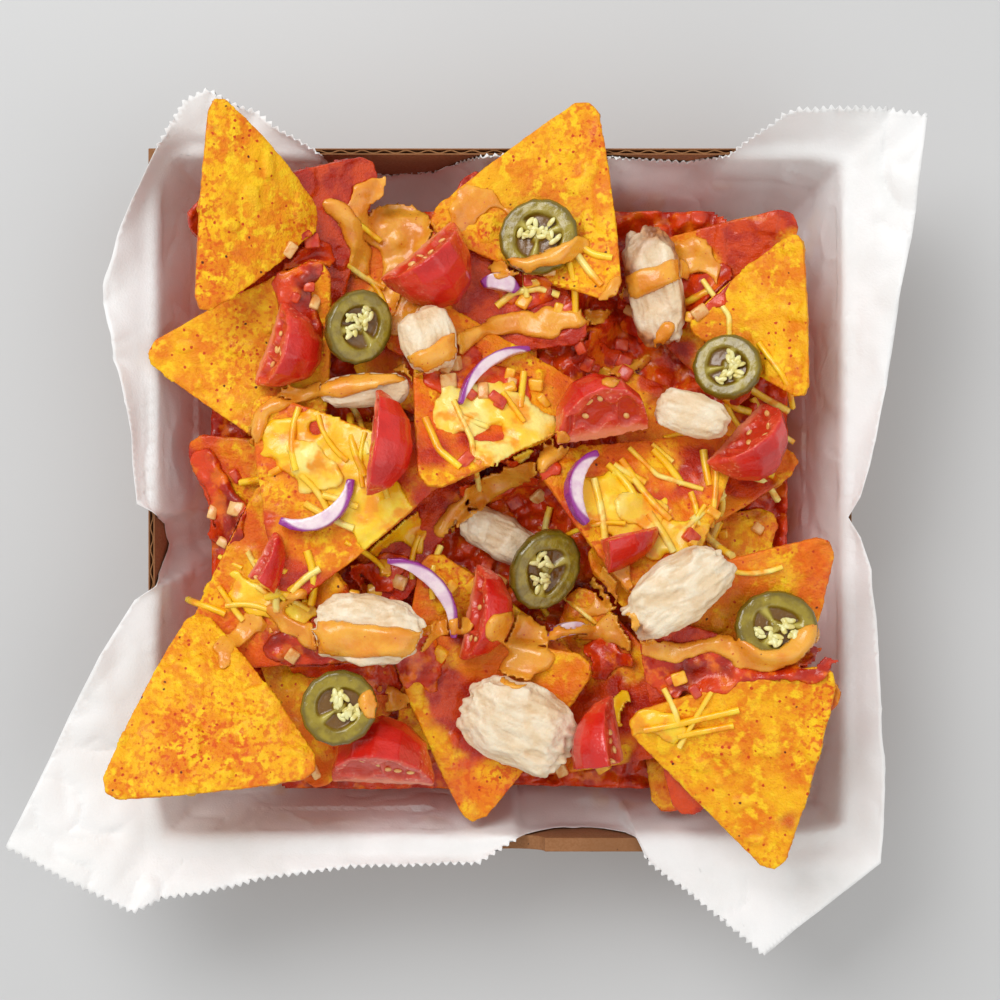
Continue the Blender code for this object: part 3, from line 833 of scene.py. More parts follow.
def board_finish(name: str, light: tuple, dark: tuple) -> bpy.types.Material:
    """Brown corrugated board with fibres and faint lines along the flutes.

    Args:
        name: its name.
        light: its lighter colour.
        dark: its darker colour.

    Returns:
        The material.
    """
    made = Finish(name)
    shader = made.shader
    place = shader.node("TexCoord").outputs["Object"]
    stretch = shader.node("Mapping", Vector=place)
    stretch.inputs["Scale"].default_value = (1.0, 1.0, 0.45)
    fibre = shader.node("TexNoise", Vector=stretch.outputs[0], Scale=1400.0, Detail=4.0)
    share = shader.between(fibre.outputs["Fac"], 0.3, 0.7)
    colour = shader.mix(share, light, dark)
    colour = shader.mix(made.patches(40, 0.4, 0.7, detail=5), colour, srgb(138, 92, 54))
    colour = shader.mix(made.specks(700, 0.2, 0.1), colour, srgb(92, 56, 32))
    made.set(Base_Color=colour)
    made.set(Roughness=shader.between(share, 0.0, 1.0, 0.78, 0.92))
    split = shader.node("SeparateXYZ", Vector=place)
    along = shader.math("ADD", split.outputs[0], split.outputs[1])
    wave = shader.math("SINE", shader.math("MULTIPLY", along, 2 * math.pi / FLUTE_PITCH_METRES))
    height = shader.math("ADD", shader.math("MULTIPLY", wave, 0.7), shader.math("MULTIPLY", share, 0.5))
    made.bump(height, 0.05)
    return made.material


# --- the box ---------------------------------------------------------------
@dataclass
class CardboardBox:
    """The corrugated tray: its board, and the open flutes along its rim."""

    board: float = 1.8
    groove: float = 1.05
    groove_depth: float = 3.0
    pitch: float = FLUTE_PITCH_METRES / MM
    skin: float = 0.24

    def build(self) -> None:
        """Makes the tray and its flutes."""
        low, high = (np.array(corner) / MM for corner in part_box("box"))
        self.half = (high[0] - low[0]) / 2
        self.height = high[2]
        finish = board_finish("kraft_board", srgb(156, 106, 66), srgb(144, 96, 57))
        box = node_copy("box", "corrugated_box")
        cutters = [self.slot_cutter(turn) for turn in (0, 90, 180)]
        for tool in cutters:
            cut = box.modifiers.new(tool.name, "BOOLEAN")
            cut.operation = "DIFFERENCE"
            cut.solver = "EXACT"
            cut.object = tool
        edge = box.modifiers.new("soft_edges", "BEVEL")
        edge.width = 0.3 * MM
        edge.segments = 2
        edge.limit_method = "ANGLE"
        apply_modifiers(box)
        for tool in cutters:
            bpy.data.objects.remove(tool, do_unlink=True)
        place_piece(box, finish, "box")
        box.data.polygons.foreach_set("use_smooth", np.zeros(len(box.data.polygons), dtype=bool))
        inner = board_finish("flute_paper", srgb(174, 124, 80), srgb(156, 108, 66))
        for side, turn in (("right", 0), ("back", 90), ("left", 180)):
            flutes = self.flutes(f"box_flutes_{side}", turn)
            place_piece(flutes, inner)

    def side_matrix(self, turn: float) -> Matrix:
        """Turns the right wall's pieces to another wall."""
        return Matrix.Rotation(math.radians(turn), 4, "Z")

    def slot_cutter(self, turn: float) -> bpy.types.Object:
        """The shape that opens the board's core along one wall's top edge.

        Args:
            turn: which wall, in degrees from the right one.

        Returns:
            The cutter, hidden in renders.
        """
        bm = bmesh.new()
        made = bmesh.ops.create_cube(bm, size=1.0)["verts"]
        size = (self.groove, 2 * self.half - 7.0, 2 * self.groove_depth)
        bmesh.ops.scale(bm, verts=made, vec=[value * MM for value in size])
        place = ((self.half - self.board / 2) * MM, 0, self.height * MM)
        bmesh.ops.translate(bm, verts=made, vec=place)
        bmesh.ops.transform(bm, verts=made, matrix=self.side_matrix(turn))
        tool = object_from(bm, f"slot_{turn}")
        tool.hide_render = True
        return tool

    def flutes(self, name: str, turn: float) -> bpy.types.Object:
        """The wavy middle layer that shows between the two liners.

        Args:
            name: its name.
            turn: which wall, in degrees from the right one.

        Returns:
            The wavy layer.
        """
        length = 2 * self.half - 7.4
        steps = int(length / self.pitch * 12)
        rise = self.groove_depth - 0.3
        bm = bmesh.new()
        bmesh.ops.create_grid(bm, x_segments=steps, y_segments=1, size=0.5)
        for vert in bm.verts:
            along, share = vert.co.x * length, vert.co.y + 0.5
            wave = math.sin(2 * math.pi * along / self.pitch) * (self.groove - self.skin) / 2
            vert.co = Vector((wave, along, rise * share)) * MM
        place = ((self.half - self.board / 2) * MM, 0, (self.height - self.groove_depth) * MM)
        bmesh.ops.translate(bm, verts=bm.verts, vec=place)
        bmesh.ops.transform(bm, verts=bm.verts, matrix=self.side_matrix(turn))
        obj = object_from(bm, name)
        wall = obj.modifiers.new("wall", "SOLIDIFY")
        wall.thickness = self.skin * MM
        wall.offset = 0
        apply_modifiers(obj)
        return obj


# --- the liner -------------------------------------------------------------
@dataclass
class PaperLiner:
    """The sheet of greaseproof paper: creased, with two pinked edges."""

    thick: float = 0.12
    cell: float = 1.3
    tooth: float = 2.4
    tooth_depth: float = 1.5
    flat: tuple[float, float] = (0.30, 0.30)

    def build(self) -> bpy.types.Object:
        """Makes the sheet from the top side of its solid.

        Returns:
            The sheet.
        """
        obj = self.top_side()
        obj.name = "paper_liner"
        mesh = obj.data
        points = points_of(mesh)
        points = self.crumple(points, normals_of(mesh))
        set_points(mesh, points)
        self.pink(obj)
        points = points_of(mesh)
        away = np.abs(points[:, :2]).max(axis=1)
        spots = ramp(0.25, 0.6, Noise.fractal(points, 12, 61)) * ramp(98, 84, away)
        set_mask(mesh, "grease", spots * 0.8)
        wall = obj.modifiers.new("wall", "SOLIDIFY")
        wall.thickness = self.thick * MM
        wall.offset = -1
        apply_modifiers(obj)
        place_piece(obj, paper_finish(), "paper")
        return obj

    def top_side(self) -> bpy.types.Object:
        """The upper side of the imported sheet, without its underside and edge.

        Returns:
            The single-sided sheet.
        """
        bm = bmesh.new()
        bm.from_mesh(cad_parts["paper"].data)
        bmesh.ops.remove_doubles(bm, verts=bm.verts, dist=1e-5)
        bm.faces.ensure_lookup_table()
        thick = 0.8 * MM
        edge_faces = [
            face
            for face in bm.faces
            if any(abs(edge.calc_length() - thick) < 0.02 * MM for edge in face.edges)
            and max(map(abs, face.calc_center_median().xy)) > 95 * MM
        ]
        bmesh.ops.delete(bm, geom=edge_faces, context="FACES")
        start = max(
            (face for face in bm.faces if face.calc_center_median().xy.length < 30 * MM),
            key=lambda face: face.normal.z * 10 + face.calc_center_median().z,
        )
        kept, queue = {start}, [start]
        while queue:
            face = queue.pop()
            for edge in face.edges:
                for other in edge.link_faces:
                    if other not in kept:
                        kept.add(other)
                        queue.append(other)
        bmesh.ops.delete(bm, geom=[f for f in bm.faces if f not in kept], context="FACES")
        for _ in range(6):
            long_edges = [e for e in bm.edges if e.calc_length() > 1.6 * self.cell * MM]
            if not long_edges:
                break
            bmesh.ops.subdivide_edges(bm, edges=long_edges, cuts=1, use_grid_fill=False)
            bmesh.ops.triangulate(bm, faces=[f for f in bm.faces if len(f.verts) > 3])
        inner = [vert for vert in bm.verts if not vert.is_boundary]
        for _ in range(7):
            bmesh.ops.smooth_vert(
                bm, verts=inner, factor=0.5, use_axis_x=True, use_axis_y=True, use_axis_z=True
            )
        return object_from(bm, "paper_liner")

    def crumple(self, points: np.ndarray, normals: np.ndarray) -> np.ndarray:
        """Adds folds and fine creases, fainter down on the floor.

        Args:
            points: points in millimetres, n by 3.
            normals: the normal at each point.

        Returns:
            The moved points.
        """
        ridge = 1 - np.abs(Noise.smooth(points, 26, 71))
        fine = 1 - np.abs(Noise.fractal(points, 12, 77, 2))
        waves = Noise.smooth(points, 40, 83)
        rng = np.random.default_rng(9)
        folds = np.zeros(len(points))
        for _ in range(26):
            aim, offset = rng.uniform(0, math.pi), rng.uniform(-125, 125)
            apart = np.abs(points[:, 0] * math.cos(aim) + points[:, 1] * math.sin(aim) - offset)
            folds += rng.uniform(-1.0, 1.0) * np.clip(1 - apart / 7.0, 0, 1)
        move = 1.5 * folds + 1.6 * (ridge**7 - 0.2) + 0.9 * (fine**6 - 0.2) + 2.2 * waves
        out = np.abs(points[:, :2]).max(axis=1)
        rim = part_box("box")[1][2] / MM
        free = ramp(104, 112, out)
        walls = ramp(70, 88, out) * (points[:, 2] < rim - 3)
        strength = 0.12 + 0.88 * free + 0.3 * walls
        inward = np.where((out > 92) & (points[:, 2] < rim + 2), np.abs(move), move)
        return points + normals * (inward * strength)[:, None]

    def pink(self, obj: bpy.types.Object) -> None:
        """Cuts the sheet's front and back edges into small teeth.

        Args:
            obj: the sheet.
        """
        bm = bmesh.new()
        bm.from_mesh(obj.data)
        border = [edge for edge in bm.edges if edge.is_boundary]
        bmesh.ops.subdivide_edges(bm, edges=border, cuts=2)
        bmesh.ops.triangulate(bm, faces=[f for f in bm.faces if len(f.verts) > 3])
        border = [edge for edge in bm.edges if edge.is_boundary]
        vert = border[0].verts[0]
        walked, seen, travel = [], set(), 0.0
        while vert is not None:
            seen.add(vert)
            walked.append((vert, travel))
            following = None
            for edge in vert.link_edges:
                other = edge.other_vert(vert)
                if edge.is_boundary and other not in seen:
                    following = other
                    travel += edge.calc_length() / MM
                    break
            vert = following
        count = len(walked)
        moves = []
        for k, (vert, travel) in enumerate(walked):
            before, after = walked[k - 4][0].co, walked[(k + 4) % count][0].co
            tangent = (after - before).normalized()
            x, y = vert.co.x / MM, vert.co.y / MM
            cut = abs(tangent.x) > 0.45 and (y > 92 or (y < -98 and x < 76))
            if not cut:
                continue
            wave = abs((travel / self.tooth) % 1.0 - 0.5) * 2
            outward = Vector((tangent.y, -tangent.x, 0)).normalized()
            if outward.dot(vert.co) < 0:
                outward = -outward
            moves.append((vert, outward * ((wave - 0.5) * self.tooth_depth * MM)))
        for vert, move in moves:
            vert.co += move
        bm.to_mesh(obj.data)
        bm.free()


# --- chips -----------------------------------------------------------------
@dataclass
class CornChips:
    """All the triangular chips, with blisters, pits, seasoning and sauce."""

    voxel: float = 0.6
    sauce: tuple = (
        ("chip_red_edge", 1.0), ("chip_back_saucy", 0.45), ("chip_saucy_front", 0.6),
        ("chip_left_dark", 0.35), ("chip_back_right_low", 0.4), ("chip_melt_left", 0.1),
        ("chip_cheesy_back", 0.25), ("chip_middle_back", 0.2), ("chip_middle_low", 0.3),
        ("chip_front_low", 0.3), ("chip_right_low", 0.1), ("chip_front_right_low", 0.4),
    )  # fmt: skip

    clean: tuple = (
        "chip_back_tip", "chip_back_left_curled", "chip_front_left_edge",
        "chip_front_right_top", "chip_right_curled", "chip_left_big",
    )  # fmt: skip

    def build(self) -> list[bpy.types.Object]:
        """Makes each chip from its solid.

        Returns:
            The chips.
        """
        finish = chip_finish()
        names = sorted(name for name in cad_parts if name.startswith("chip_"))
        return [self.chip(name, k, finish) for k, name in enumerate(names)]

    def chip(self, node: str, seed: int, finish: bpy.types.Material) -> bpy.types.Object:
        """One chip.

        Args:
            node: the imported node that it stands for.
            seed: which noise shapes it.
            finish: its material.

        Returns:
            The finished chip.
        """
        obj = node_copy(node, "corn_" + node)
        refine(obj, self.voxel, 5)
        mesh = obj.data
        points, normals = points_of(mesh), normals_of(mesh)
        flat = principal_axes(points)[1][2]
        face = ramp(0.35, 0.8, np.abs(normals @ flat))
        lumps = Noise.fractal(points, 9, seed, 2)
        blister = ramp(0.3, 0.62, Noise.smooth(points, 5.0, seed + 40))
        pits = ramp(0.45, 0.75, Noise.smooth(points, 2.6, seed + 80))
        rough = Noise.fractal(points, 1.7, seed + 120, 2)
        move = face * (0.3 * lumps + 0.75 * blister - 0.3 * pits) + 0.13 * rough - 0.2
        set_points(mesh, points + normals * move[:, None])
        set_mask(mesh, "blister", blister * face * 0.7)
        set_mask(mesh, "season", 0.45 + 0.6 * Noise.smooth(points, 16, seed + 160))
        set_mask(mesh, "rim", (1 - face) * 0.5)
        clean = node in self.clean
        set_mask(mesh, "stain", (0.15 if clean else 0.85) + 0.25 * Noise.smooth(points, 20, seed + 240))
        level = dict(self.sauce).get(node, -0.6 if clean else -0.15)
        sauce = ramp(0.1, 0.45, Noise.fractal(points, 15, seed + 200, 3) * 0.8 + level)
        set_mask(mesh, "sauce", sauce)
        place_piece(obj, finish, node)
        return obj


# --- toppings --------------------------------------------------------------
def scatter_seeds(name: str, spots: list[Matrix], size: tuple[float, float, float]) -> bpy.types.Object:
    """Small flattened seeds, one at each place.

    Args:
        name: the piece's name.
        spots: where each lies, in metres.
        size: its three half-widths in millimetres.

    Returns:
        One object with every seed.
    """
    bm = bmesh.new()
    for spot in spots:
        made = bmesh.ops.create_icosphere(bm, subdivisions=2, radius=1.0)["verts"]
        bmesh.ops.scale(bm, verts=made, vec=[value * MM for value in size])
        bmesh.ops.transform(bm, verts=made, matrix=spot)
    return object_from(bm, name)


def seat(point: np.ndarray, normal: np.ndarray, turn: float) -> Matrix:
    """A place in metres at a point, flat against a normal, turned by an angle."""
    lean = Vector(normal).to_track_quat("Z", "Y").to_matrix().to_4x4()
    return Matrix.Translation(Vector(point) * MM) @ lean @ Matrix.Rotation(turn, 4, "Z")


@dataclass
class TomatoWedges:
    """Tomato wedges: skin outside, two cut faces with pockets of seeds."""

    voxel: float = 0.45

    def build(self) -> list[bpy.types.Object]:
        """Makes each wedge from its solid.

        Returns:
            The wedges.
        """
        finish = tomato_finish()
        seeds = seed_finish("tomato_seed", srgb(244, 196, 120), srgb(232, 160, 84))
        names = sorted(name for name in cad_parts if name.startswith("tomato_"))
        return [self.wedge(name, k, finish, seeds) for k, name in enumerate(names)]

    def wedge(
        self, node: str, seed: int, finish: bpy.types.Material, seeds: bpy.types.Material
    ) -> bpy.types.Object:
        """One wedge, measured from its two cut faces.

        Args:
            node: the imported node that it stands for.
            seed: which noise shapes it.
            finish: its material.
            seeds: the material of its seeds.

        Returns:
            The finished wedge.
        """
        obj = node_copy(node, node + "_wedge")
        (_, cut_a, at_a), (_, cut_b, at_b) = flat_faces(obj)[:2]
        corners = points_of(obj.data)
        axis = np.cross(cut_a, cut_b)
        axis /= np.linalg.norm(axis)
        centre = corners.mean(axis=0)
        origin = np.linalg.solve(np.array([cut_a, cut_b, axis]), [at_a, at_b, axis @ centre])
        along = (corners - origin) @ axis
        radial = np.linalg.norm(corners - origin - along[:, None] * axis, axis=1)
        low, high, depth = along.min(), along.max(), radial.max()
        ends = [radial[np.abs(along - end) < 0.4].max() for end in (low, high)]
        if ends[0] > 0.6 * depth:
            middle, half = low, high - low
        elif ends[1] > 0.6 * depth:
            middle, half = high, high - low
        else:
            middle, half = (low + high) / 2, (high - low) / 2
        refine(obj, self.voxel, 9)
        mesh = obj.data
        points, normals = points_of(mesh), normals_of(mesh)
        along = (points - origin) @ axis
        spread = points - origin - along[:, None] * axis
        reach = np.linalg.norm(spread, axis=1)
        out = spread / np.maximum(reach, 0.1)[:, None]
        share = np.clip((along - middle) / (half * 1.03), -1, 1)
        edge = depth * np.sqrt(np.maximum(1 - share**2, 0.04))
        rel = reach / edge
        skin = ramp(0.45, 0.75, (normals * out).sum(axis=1))
        cut = 1 - skin
        waves = np.cos(share * 9.5 + seed) * 0.1
        pocket = ramp(0.26, 0.36, rel + waves) * ramp(0.8, 0.7, rel - waves) * ramp(0.82, 0.66, np.abs(share))
        split = ramp(0.0, 0.25, np.abs(np.sin(share * 3.6 + 0.5 + seed)))
        gel = pocket * split * cut
        fibre = Noise.fractal(points, 2.4, seed + 300, 2)
        move = -1.3 * gel + 0.22 * cut * fibre + 0.5 * Noise.smooth(points, 9, seed + 310)
        set_points(mesh, points + normals * move[:, None])
        set_mask(mesh, "skin", skin)
        set_mask(mesh, "gel", gel)
        set_mask(mesh, "pith", cut * ramp(0.3, 0.12, rel) * 0.8)
        place_piece(obj, finish, node)
        self.seeds(node, mesh, gel, seed, seeds)
        return obj

    def seeds(
        self, node: str, mesh: bpy.types.Mesh, gel: np.ndarray, seed: int, finish: bpy.types.Material
    ) -> None:
        """Scatters seeds in the wedge's pockets.

        Args:
            node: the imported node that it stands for.
            mesh: the wedge's mesh.
            gel: how far each point lies in a seed pocket.
            seed: which noise shapes it.
            finish: the seeds' material.
        """
        points, normals = points_of(mesh), normals_of(mesh)
        wet = np.flatnonzero(gel > 0.8)
        rng = np.random.default_rng(seed + 5)
        spots: list[np.ndarray] = []
        seats = []
        for index in rng.permutation(wet)[:400]:
            if all(np.linalg.norm(points[index] - other) > 2.6 for other in spots):
                spots.append(points[index])
                seats.append(seat(points[index] + normals[index] * 0.25, normals[index], rng.uniform(0, 6.3)))
            if len(spots) == 9:
                break
        if not seats:
            return
        obj = scatter_seeds(node + "_seeds", seats, (1.25, 0.85, 0.5))
        place_piece(obj, finish)


@dataclass
class JalapenoSlices:
    """Pickled pepper slices: skin, flesh, sunken chambers and seeds."""

    voxel: float = 0.42
    chambers: int = 3

    def build(self) -> list[bpy.types.Object]:
        """Makes each slice from its solid.

        Returns:
            The slices.
        """
        finish = jalapeno_finish()
        seeds = seed_finish("pepper_seed", srgb(242, 236, 170), srgb(222, 206, 118))
        names = sorted(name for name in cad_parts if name.startswith("jalapeno_"))
        return [self.slice(name, k, finish, seeds) for k, name in enumerate(names)]

    def slice(
        self, node: str, seed: int, finish: bpy.types.Material, seeds: bpy.types.Material
    ) -> bpy.types.Object:
        """One slice, measured from its two caps.

        Args:
            node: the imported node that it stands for.
            seed: which noise shapes it.
            finish: its material.
            seeds: the material of its seeds.

        Returns:
            The finished slice.
        """
        obj = node_copy(node, node + "_slice")
        cap = flat_faces(obj)[0][1]
        cap = cap if cap[2] > 0 else -cap
        corners = points_of(obj.data)
        centre = (corners.min(axis=0) + corners.max(axis=0)) / 2
        flat = corners - centre - ((corners - centre) @ cap)[:, None] * cap
        long_way = principal_axes(flat)[1][0]
        short_way = np.cross(cap, long_way)
        radii = [np.abs(flat @ way).max() for way in (long_way, short_way)]
        refine(obj, self.voxel, 3)
        mesh = obj.data
        points, normals = points_of(mesh), normals_of(mesh)
        u = (points - centre) @ long_way / radii[0]
        v = (points - centre) @ short_way / radii[1]
        rel, turn = np.hypot(u, v), np.arctan2(v, u)
        rel = rel + 0.03 * np.sin(3 * turn + seed) + 0.03 * Noise.smooth(points, 4, seed + 400)
        caps = ramp(0.5, 0.8, np.abs(normals @ cap))
        lobes = ramp(0.1, 0.45, np.abs(np.sin(self.chambers * (turn + seed) / 2)))
        chamber = caps * ramp(0.62, 0.52, rel) * ramp(0.1, 0.22, rel) * lobes
        membrane = caps * ramp(0.64, 0.5, rel) * (1 - lobes)
        move = -1.5 * chamber - 0.35 * membrane + 0.12 * Noise.fractal(points, 2.2, seed + 410, 2)
        set_points(mesh, points + normals * move[:, None])
        # chamber: the sunken hollows, which the pepper finish also paints with shade
        set_mask(mesh, "chamber", chamber)
        set_mask(mesh, "membrane", membrane * 0.9)
        set_mask(mesh, "rim", caps * ramp(0.82, 0.92, rel))
        set_mask(mesh, "skin", 1 - caps)
        place_piece(obj, finish, node)
        upper = points[(normals @ cap) > 0.7]
        top = ((upper - centre) @ cap).mean()
        rng = np.random.default_rng(seed + 11)
        seats = []
        for k in range(20):
            lobe = seed + 2.1 * (k % 2)
            angle = lobe + rng.uniform(-0.8, 0.8)
            radius = rng.uniform(0.08, 0.5)
            flat_spot = long_way * math.cos(angle) * radii[0] + short_way * math.sin(angle) * radii[1]
            spot = centre + flat_spot * radius + cap * (top - 0.7 + 0.045 * k)
            tipped = cap + 0.35 * rng.uniform(-1, 1, 3)
            seats.append(seat(spot, tipped / np.linalg.norm(tipped), rng.uniform(0, 6.3)))
        pips = scatter_seeds(node + "_seeds", seats, (1.7, 0.8, 0.5))
        place_piece(pips, seeds)
        return obj


class Browning(Enum):
    """How much of a piece of chicken is browned."""

    NONE = -0.9
    SOME = -0.25
    MUCH = 0.05


@dataclass
class ChickenPieces:
    """Torn roast chicken: long fibres, ragged ends and browned patches."""

    voxel: float = 0.45
    browned: tuple = (
        ("chicken_back", Browning.MUCH), ("chicken_middle", Browning.SOME),
        ("chicken_curved", Browning.SOME), ("chicken_front_left", Browning.NONE),
    )  # fmt: skip
    sliced: tuple = ("chicken_left", "chicken_right", "chicken_left_back")

    def build(self) -> list[bpy.types.Object]:
        """Makes each piece from its solid.

        Returns:
            The pieces.
        """
        finish = chicken_finish()
        names = sorted(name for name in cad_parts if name.startswith("chicken_"))
        return [self.piece(name, k, finish) for k, name in enumerate(names)]

    def piece(self, node: str, seed: int, finish: bpy.types.Material) -> bpy.types.Object:
        """One piece, its fibres along its longest way.

        Args:
            node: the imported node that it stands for.
            seed: which noise shapes it.
            finish: its material.

        Returns:
            The finished piece.
        """
        obj = node_copy(node, node + "_meat")
        refine(obj, self.voxel, 4)
        mesh = obj.data
        points, normals = points_of(mesh), normals_of(mesh)
        centre, axes = principal_axes(points)
        local = (points - centre) @ axes.T
        half = np.abs(local).max(axis=0)
        bend = Noise.smooth(points, 11, seed + 505)[:, None] * np.array([0, 2.2, 2.2])
        strands = (local + bend) / np.array([6.0, 0.9, 0.9])
        fibre = Noise.fractal(strands, 1.0, seed + 500, 2)
        coarse = Noise.fractal(local / np.array([1.3, 1.0, 1.0]), 5.5, seed + 510, 3)
        torn = ramp(0.1, 0.5, Noise.smooth(local / np.array([1.6, 1.0, 1.0]), 4.0, seed + 515))
        ends = ramp(0.55, 1.0, np.abs(local[:, 0]) / half[0])
        rugged = 0.4 if node in self.sliced else 1.0
        move = 0.24 * fibre + rugged * (0.75 * coarse - 0.7 * torn)
        move += 1.5 * rugged * ends * Noise.smooth(strands * [2, 1, 1], 1.5, seed + 520)
        set_points(mesh, points + normals * move[:, None])
        # groove: the sunken fibre gaps and torn hollows, where the chicken finish paints shade
        set_mask(mesh, "groove", ramp(0.0, -0.7, fibre) * 0.4 + torn * 0.45)
        level = dict(self.browned).get(node, Browning.NONE).value
        side = np.abs(local[:, :2] / half[:2]).max(axis=1) * 2 - 1.2
        patchy = Noise.smooth(points, 8, seed + 530)
        set_mask(mesh, "brown", ramp(0.1, 0.5, level + 0.5 * side + 0.5 * patchy))
        place_piece(obj, finish, node)
        return obj


@dataclass
class OnionArcs:
    """Pieces of red onion ring, purple on the outside of the curve."""

    voxel: float = 0.35

    def build(self) -> list[bpy.types.Object]:
        """Makes each piece from its solid.

        Returns:
            The arcs.
        """
        finish = onion_finish()
        names = sorted(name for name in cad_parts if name.startswith("onion_"))
        return [self.arc(name, k, finish) for k, name in enumerate(names)]

    def arc(self, node: str, seed: int, finish: bpy.types.Material) -> bpy.types.Object:
        """One arc: its circle is fitted to its solid's points.

        Args:
            node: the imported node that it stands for.
            seed: which noise shapes it.
            finish: its material.

        Returns:
            The finished arc.
        """
        obj = node_copy(node, node + "_arc")
        corners = points_of(obj.data)
        up = max(flat_faces(obj), key=lambda face: face[0] * abs(face[1][2]) ** 3)[1]
        flat_x = np.cross(up, [0.0, 1.0, 0.3])
        flat_x /= np.linalg.norm(flat_x)
        flat_y = np.cross(up, flat_x)
        plan = np.stack([corners @ flat_x, corners @ flat_y], axis=1)
        system = np.column_stack([2 * plan, np.ones(len(plan))])
        fit = np.linalg.lstsq(system, (plan**2).sum(axis=1), rcond=None)[0]
        refine(obj, self.voxel, 4)
        mesh = obj.data
        points, normals = points_of(mesh), normals_of(mesh)
        radius = np.hypot(points @ flat_x - fit[0], points @ flat_y - fit[1])
        inner, outer = np.quantile(radius, (0.04, 0.96))
        move = 0.25 * Noise.smooth(points, 5, seed + 600)
        set_points(mesh, points + normals * move[:, None])
        set_mask(mesh, "outer", ramp(0.6, 0.74, (radius - inner) / (outer - inner)))
        place_piece(obj, finish, node)
        return obj


# --- heights ---------------------------------------------------------------
class HeightMap:
    """The top of what has been laid, on a fine square grid seen from above."""

    def __init__(self, reach: float = 112.0, step: float = 0.6) -> None:
        """Starts with nothing laid.

        Args:
            reach: half the grid's width in millimetres.
            step: the width of a cell in millimetres.
        """
        self.reach, self.step = reach, step
        self.count = int(2 * reach / step) + 1
        self.top = np.full((self.count, self.count), -1e3)

    def add(self, obj: bpy.types.Object) -> None:
        """Raises the grid to the piece's points, which lie closer than its step.

        Args:
            obj: the piece.
        """
        points = points_of(obj.data)
        cells = np.round((points[:, :2] + self.reach) / self.step).astype(int)
        inside = ((cells >= 0) & (cells < self.count)).all(axis=1)
        cells, heights = cells[inside], points[inside, 2]
        np.maximum.at(self.top, (cells[:, 0], cells[:, 1]), heights)

    def copy(self) -> "HeightMap":
        """A map that starts from this one.

        Returns:
            The new map.
        """
        made = HeightMap(self.reach, self.step)
        made.top = self.top.copy()
        return made

    def filled(self) -> np.ndarray:
        """The heights with single gaps filled from the cells round them.

        Returns:
            The heights.
        """
        top = self.top.copy()
        for _ in range(4):
            wide = np.pad(top, 1, mode="edge")
            views = [wide[a : a + self.count, b : b + self.count] for a in range(3) for b in range(3)]
            top = np.where(top < -500, np.max(views, axis=0), top)
        return np.where(top < -500, 20.0, top)

    def grid(self) -> tuple[np.ndarray, np.ndarray]:
        """The X and Y of every cell."""
        line = np.arange(self.count) * self.step - self.reach
        return np.meshgrid(line, line, indexing="ij")

    @staticmethod
    def blur(values: np.ndarray, width: float) -> np.ndarray:
        """Softens a grid with a bell of the given width in cells.

        Args:
            values: the grid.
            width: the bell's width in cells.

        Returns:
            The softened grid.
        """
        reach = int(3 * width) + 1
        bell = np.exp(-0.5 * (np.arange(-reach, reach + 1) / width) ** 2)
        bell /= bell.sum()
        for axis in (0, 1):
            wide = np.pad(values, [(reach, reach) if k == axis else (0, 0) for k in (0, 1)], mode="edge")
            total = np.zeros_like(values)
            for k, weight in enumerate(bell):
                part = [slice(None), slice(None)]
                part[axis] = slice(k, k + values.shape[axis])
                total += weight * wide[tuple(part)]
            values = total
        return values

    def at(self, x: float, y: float, heights: np.ndarray) -> float:
        """The height at one place.

        Args:
            x: the place along X.
            y: the place along Y.
            heights: the heights to read.

        Returns:
            The height in millimetres.
        """
        i = int(round((x + self.reach) / self.step))
        j = int(round((y + self.reach) / self.step))
        return float(heights[min(max(i, 0), self.count - 1), min(max(j, 0), self.count - 1)])


@dataclass
class Filling:
    """The saucy filling under the chips: lumps in a glossy salsa."""

    cell: float = 0.8

    def build(self, finish: bpy.types.Material) -> bpy.types.Object:
        """Makes the filling's uneven top over its solid, closed to the floor.

        Args:
            finish: its material.

        Returns:
            The filling.
        """
        solid = BVHTree.FromObject(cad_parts["filling"], bpy.context.evaluated_depsgraph_get())
        low, high = (np.array(corner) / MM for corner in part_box("filling"))
        half = high[0]
        steps = int(2 * half / self.cell)
        bm = bmesh.new()
        bmesh.ops.create_grid(bm, x_segments=steps, y_segments=steps, size=half * MM)
        outside = []
        for vert in bm.verts:
            hit = solid.ray_cast(Vector((vert.co.x, vert.co.y, 1.0)), Vector((0, 0, -1)))[0]
            if hit is None:
                outside.append(vert)
            else:
                vert.co.z = hit.z
        bmesh.ops.delete(bm, geom=outside, context="VERTS")
        for _ in range(5):
            bmesh.ops.smooth_vert(bm, verts=bm.verts, factor=0.5, use_axis_z=True)
        border = [edge for edge in bm.edges if edge.is_boundary]
        skirt = bmesh.ops.extrude_edge_only(bm, edges=border)["geom"]
        for item in skirt:
            if isinstance(item, bmesh.types.BMVert):
                item.co = Vector((item.co.x * 0.9, item.co.y * 0.9, (low[2] + 0.2) * MM))
        obj = object_from(bm, "salsa_filling")
        mesh = obj.data
        points = points_of(mesh)
        lumps = Noise.bumps(points, 7.0, 700)
        small = Noise.bumps(points, 3.6, 710)
        rough = Noise.fractal(points, 3.0, 720, 2)
        rise = 2.6 * ramp(0.25, 0.8, lumps) + 1.1 * ramp(0.3, 0.8, small) + 0.5 * rough - 2.2
        points[:, 2] += np.where(points[:, 2] > 12, rise, 0)
        set_points(mesh, points)
        set_mask(mesh, "lump", ramp(0.4, 0.75, lumps) * 0.8)
        place_piece(obj, finish, "filling")
        return obj


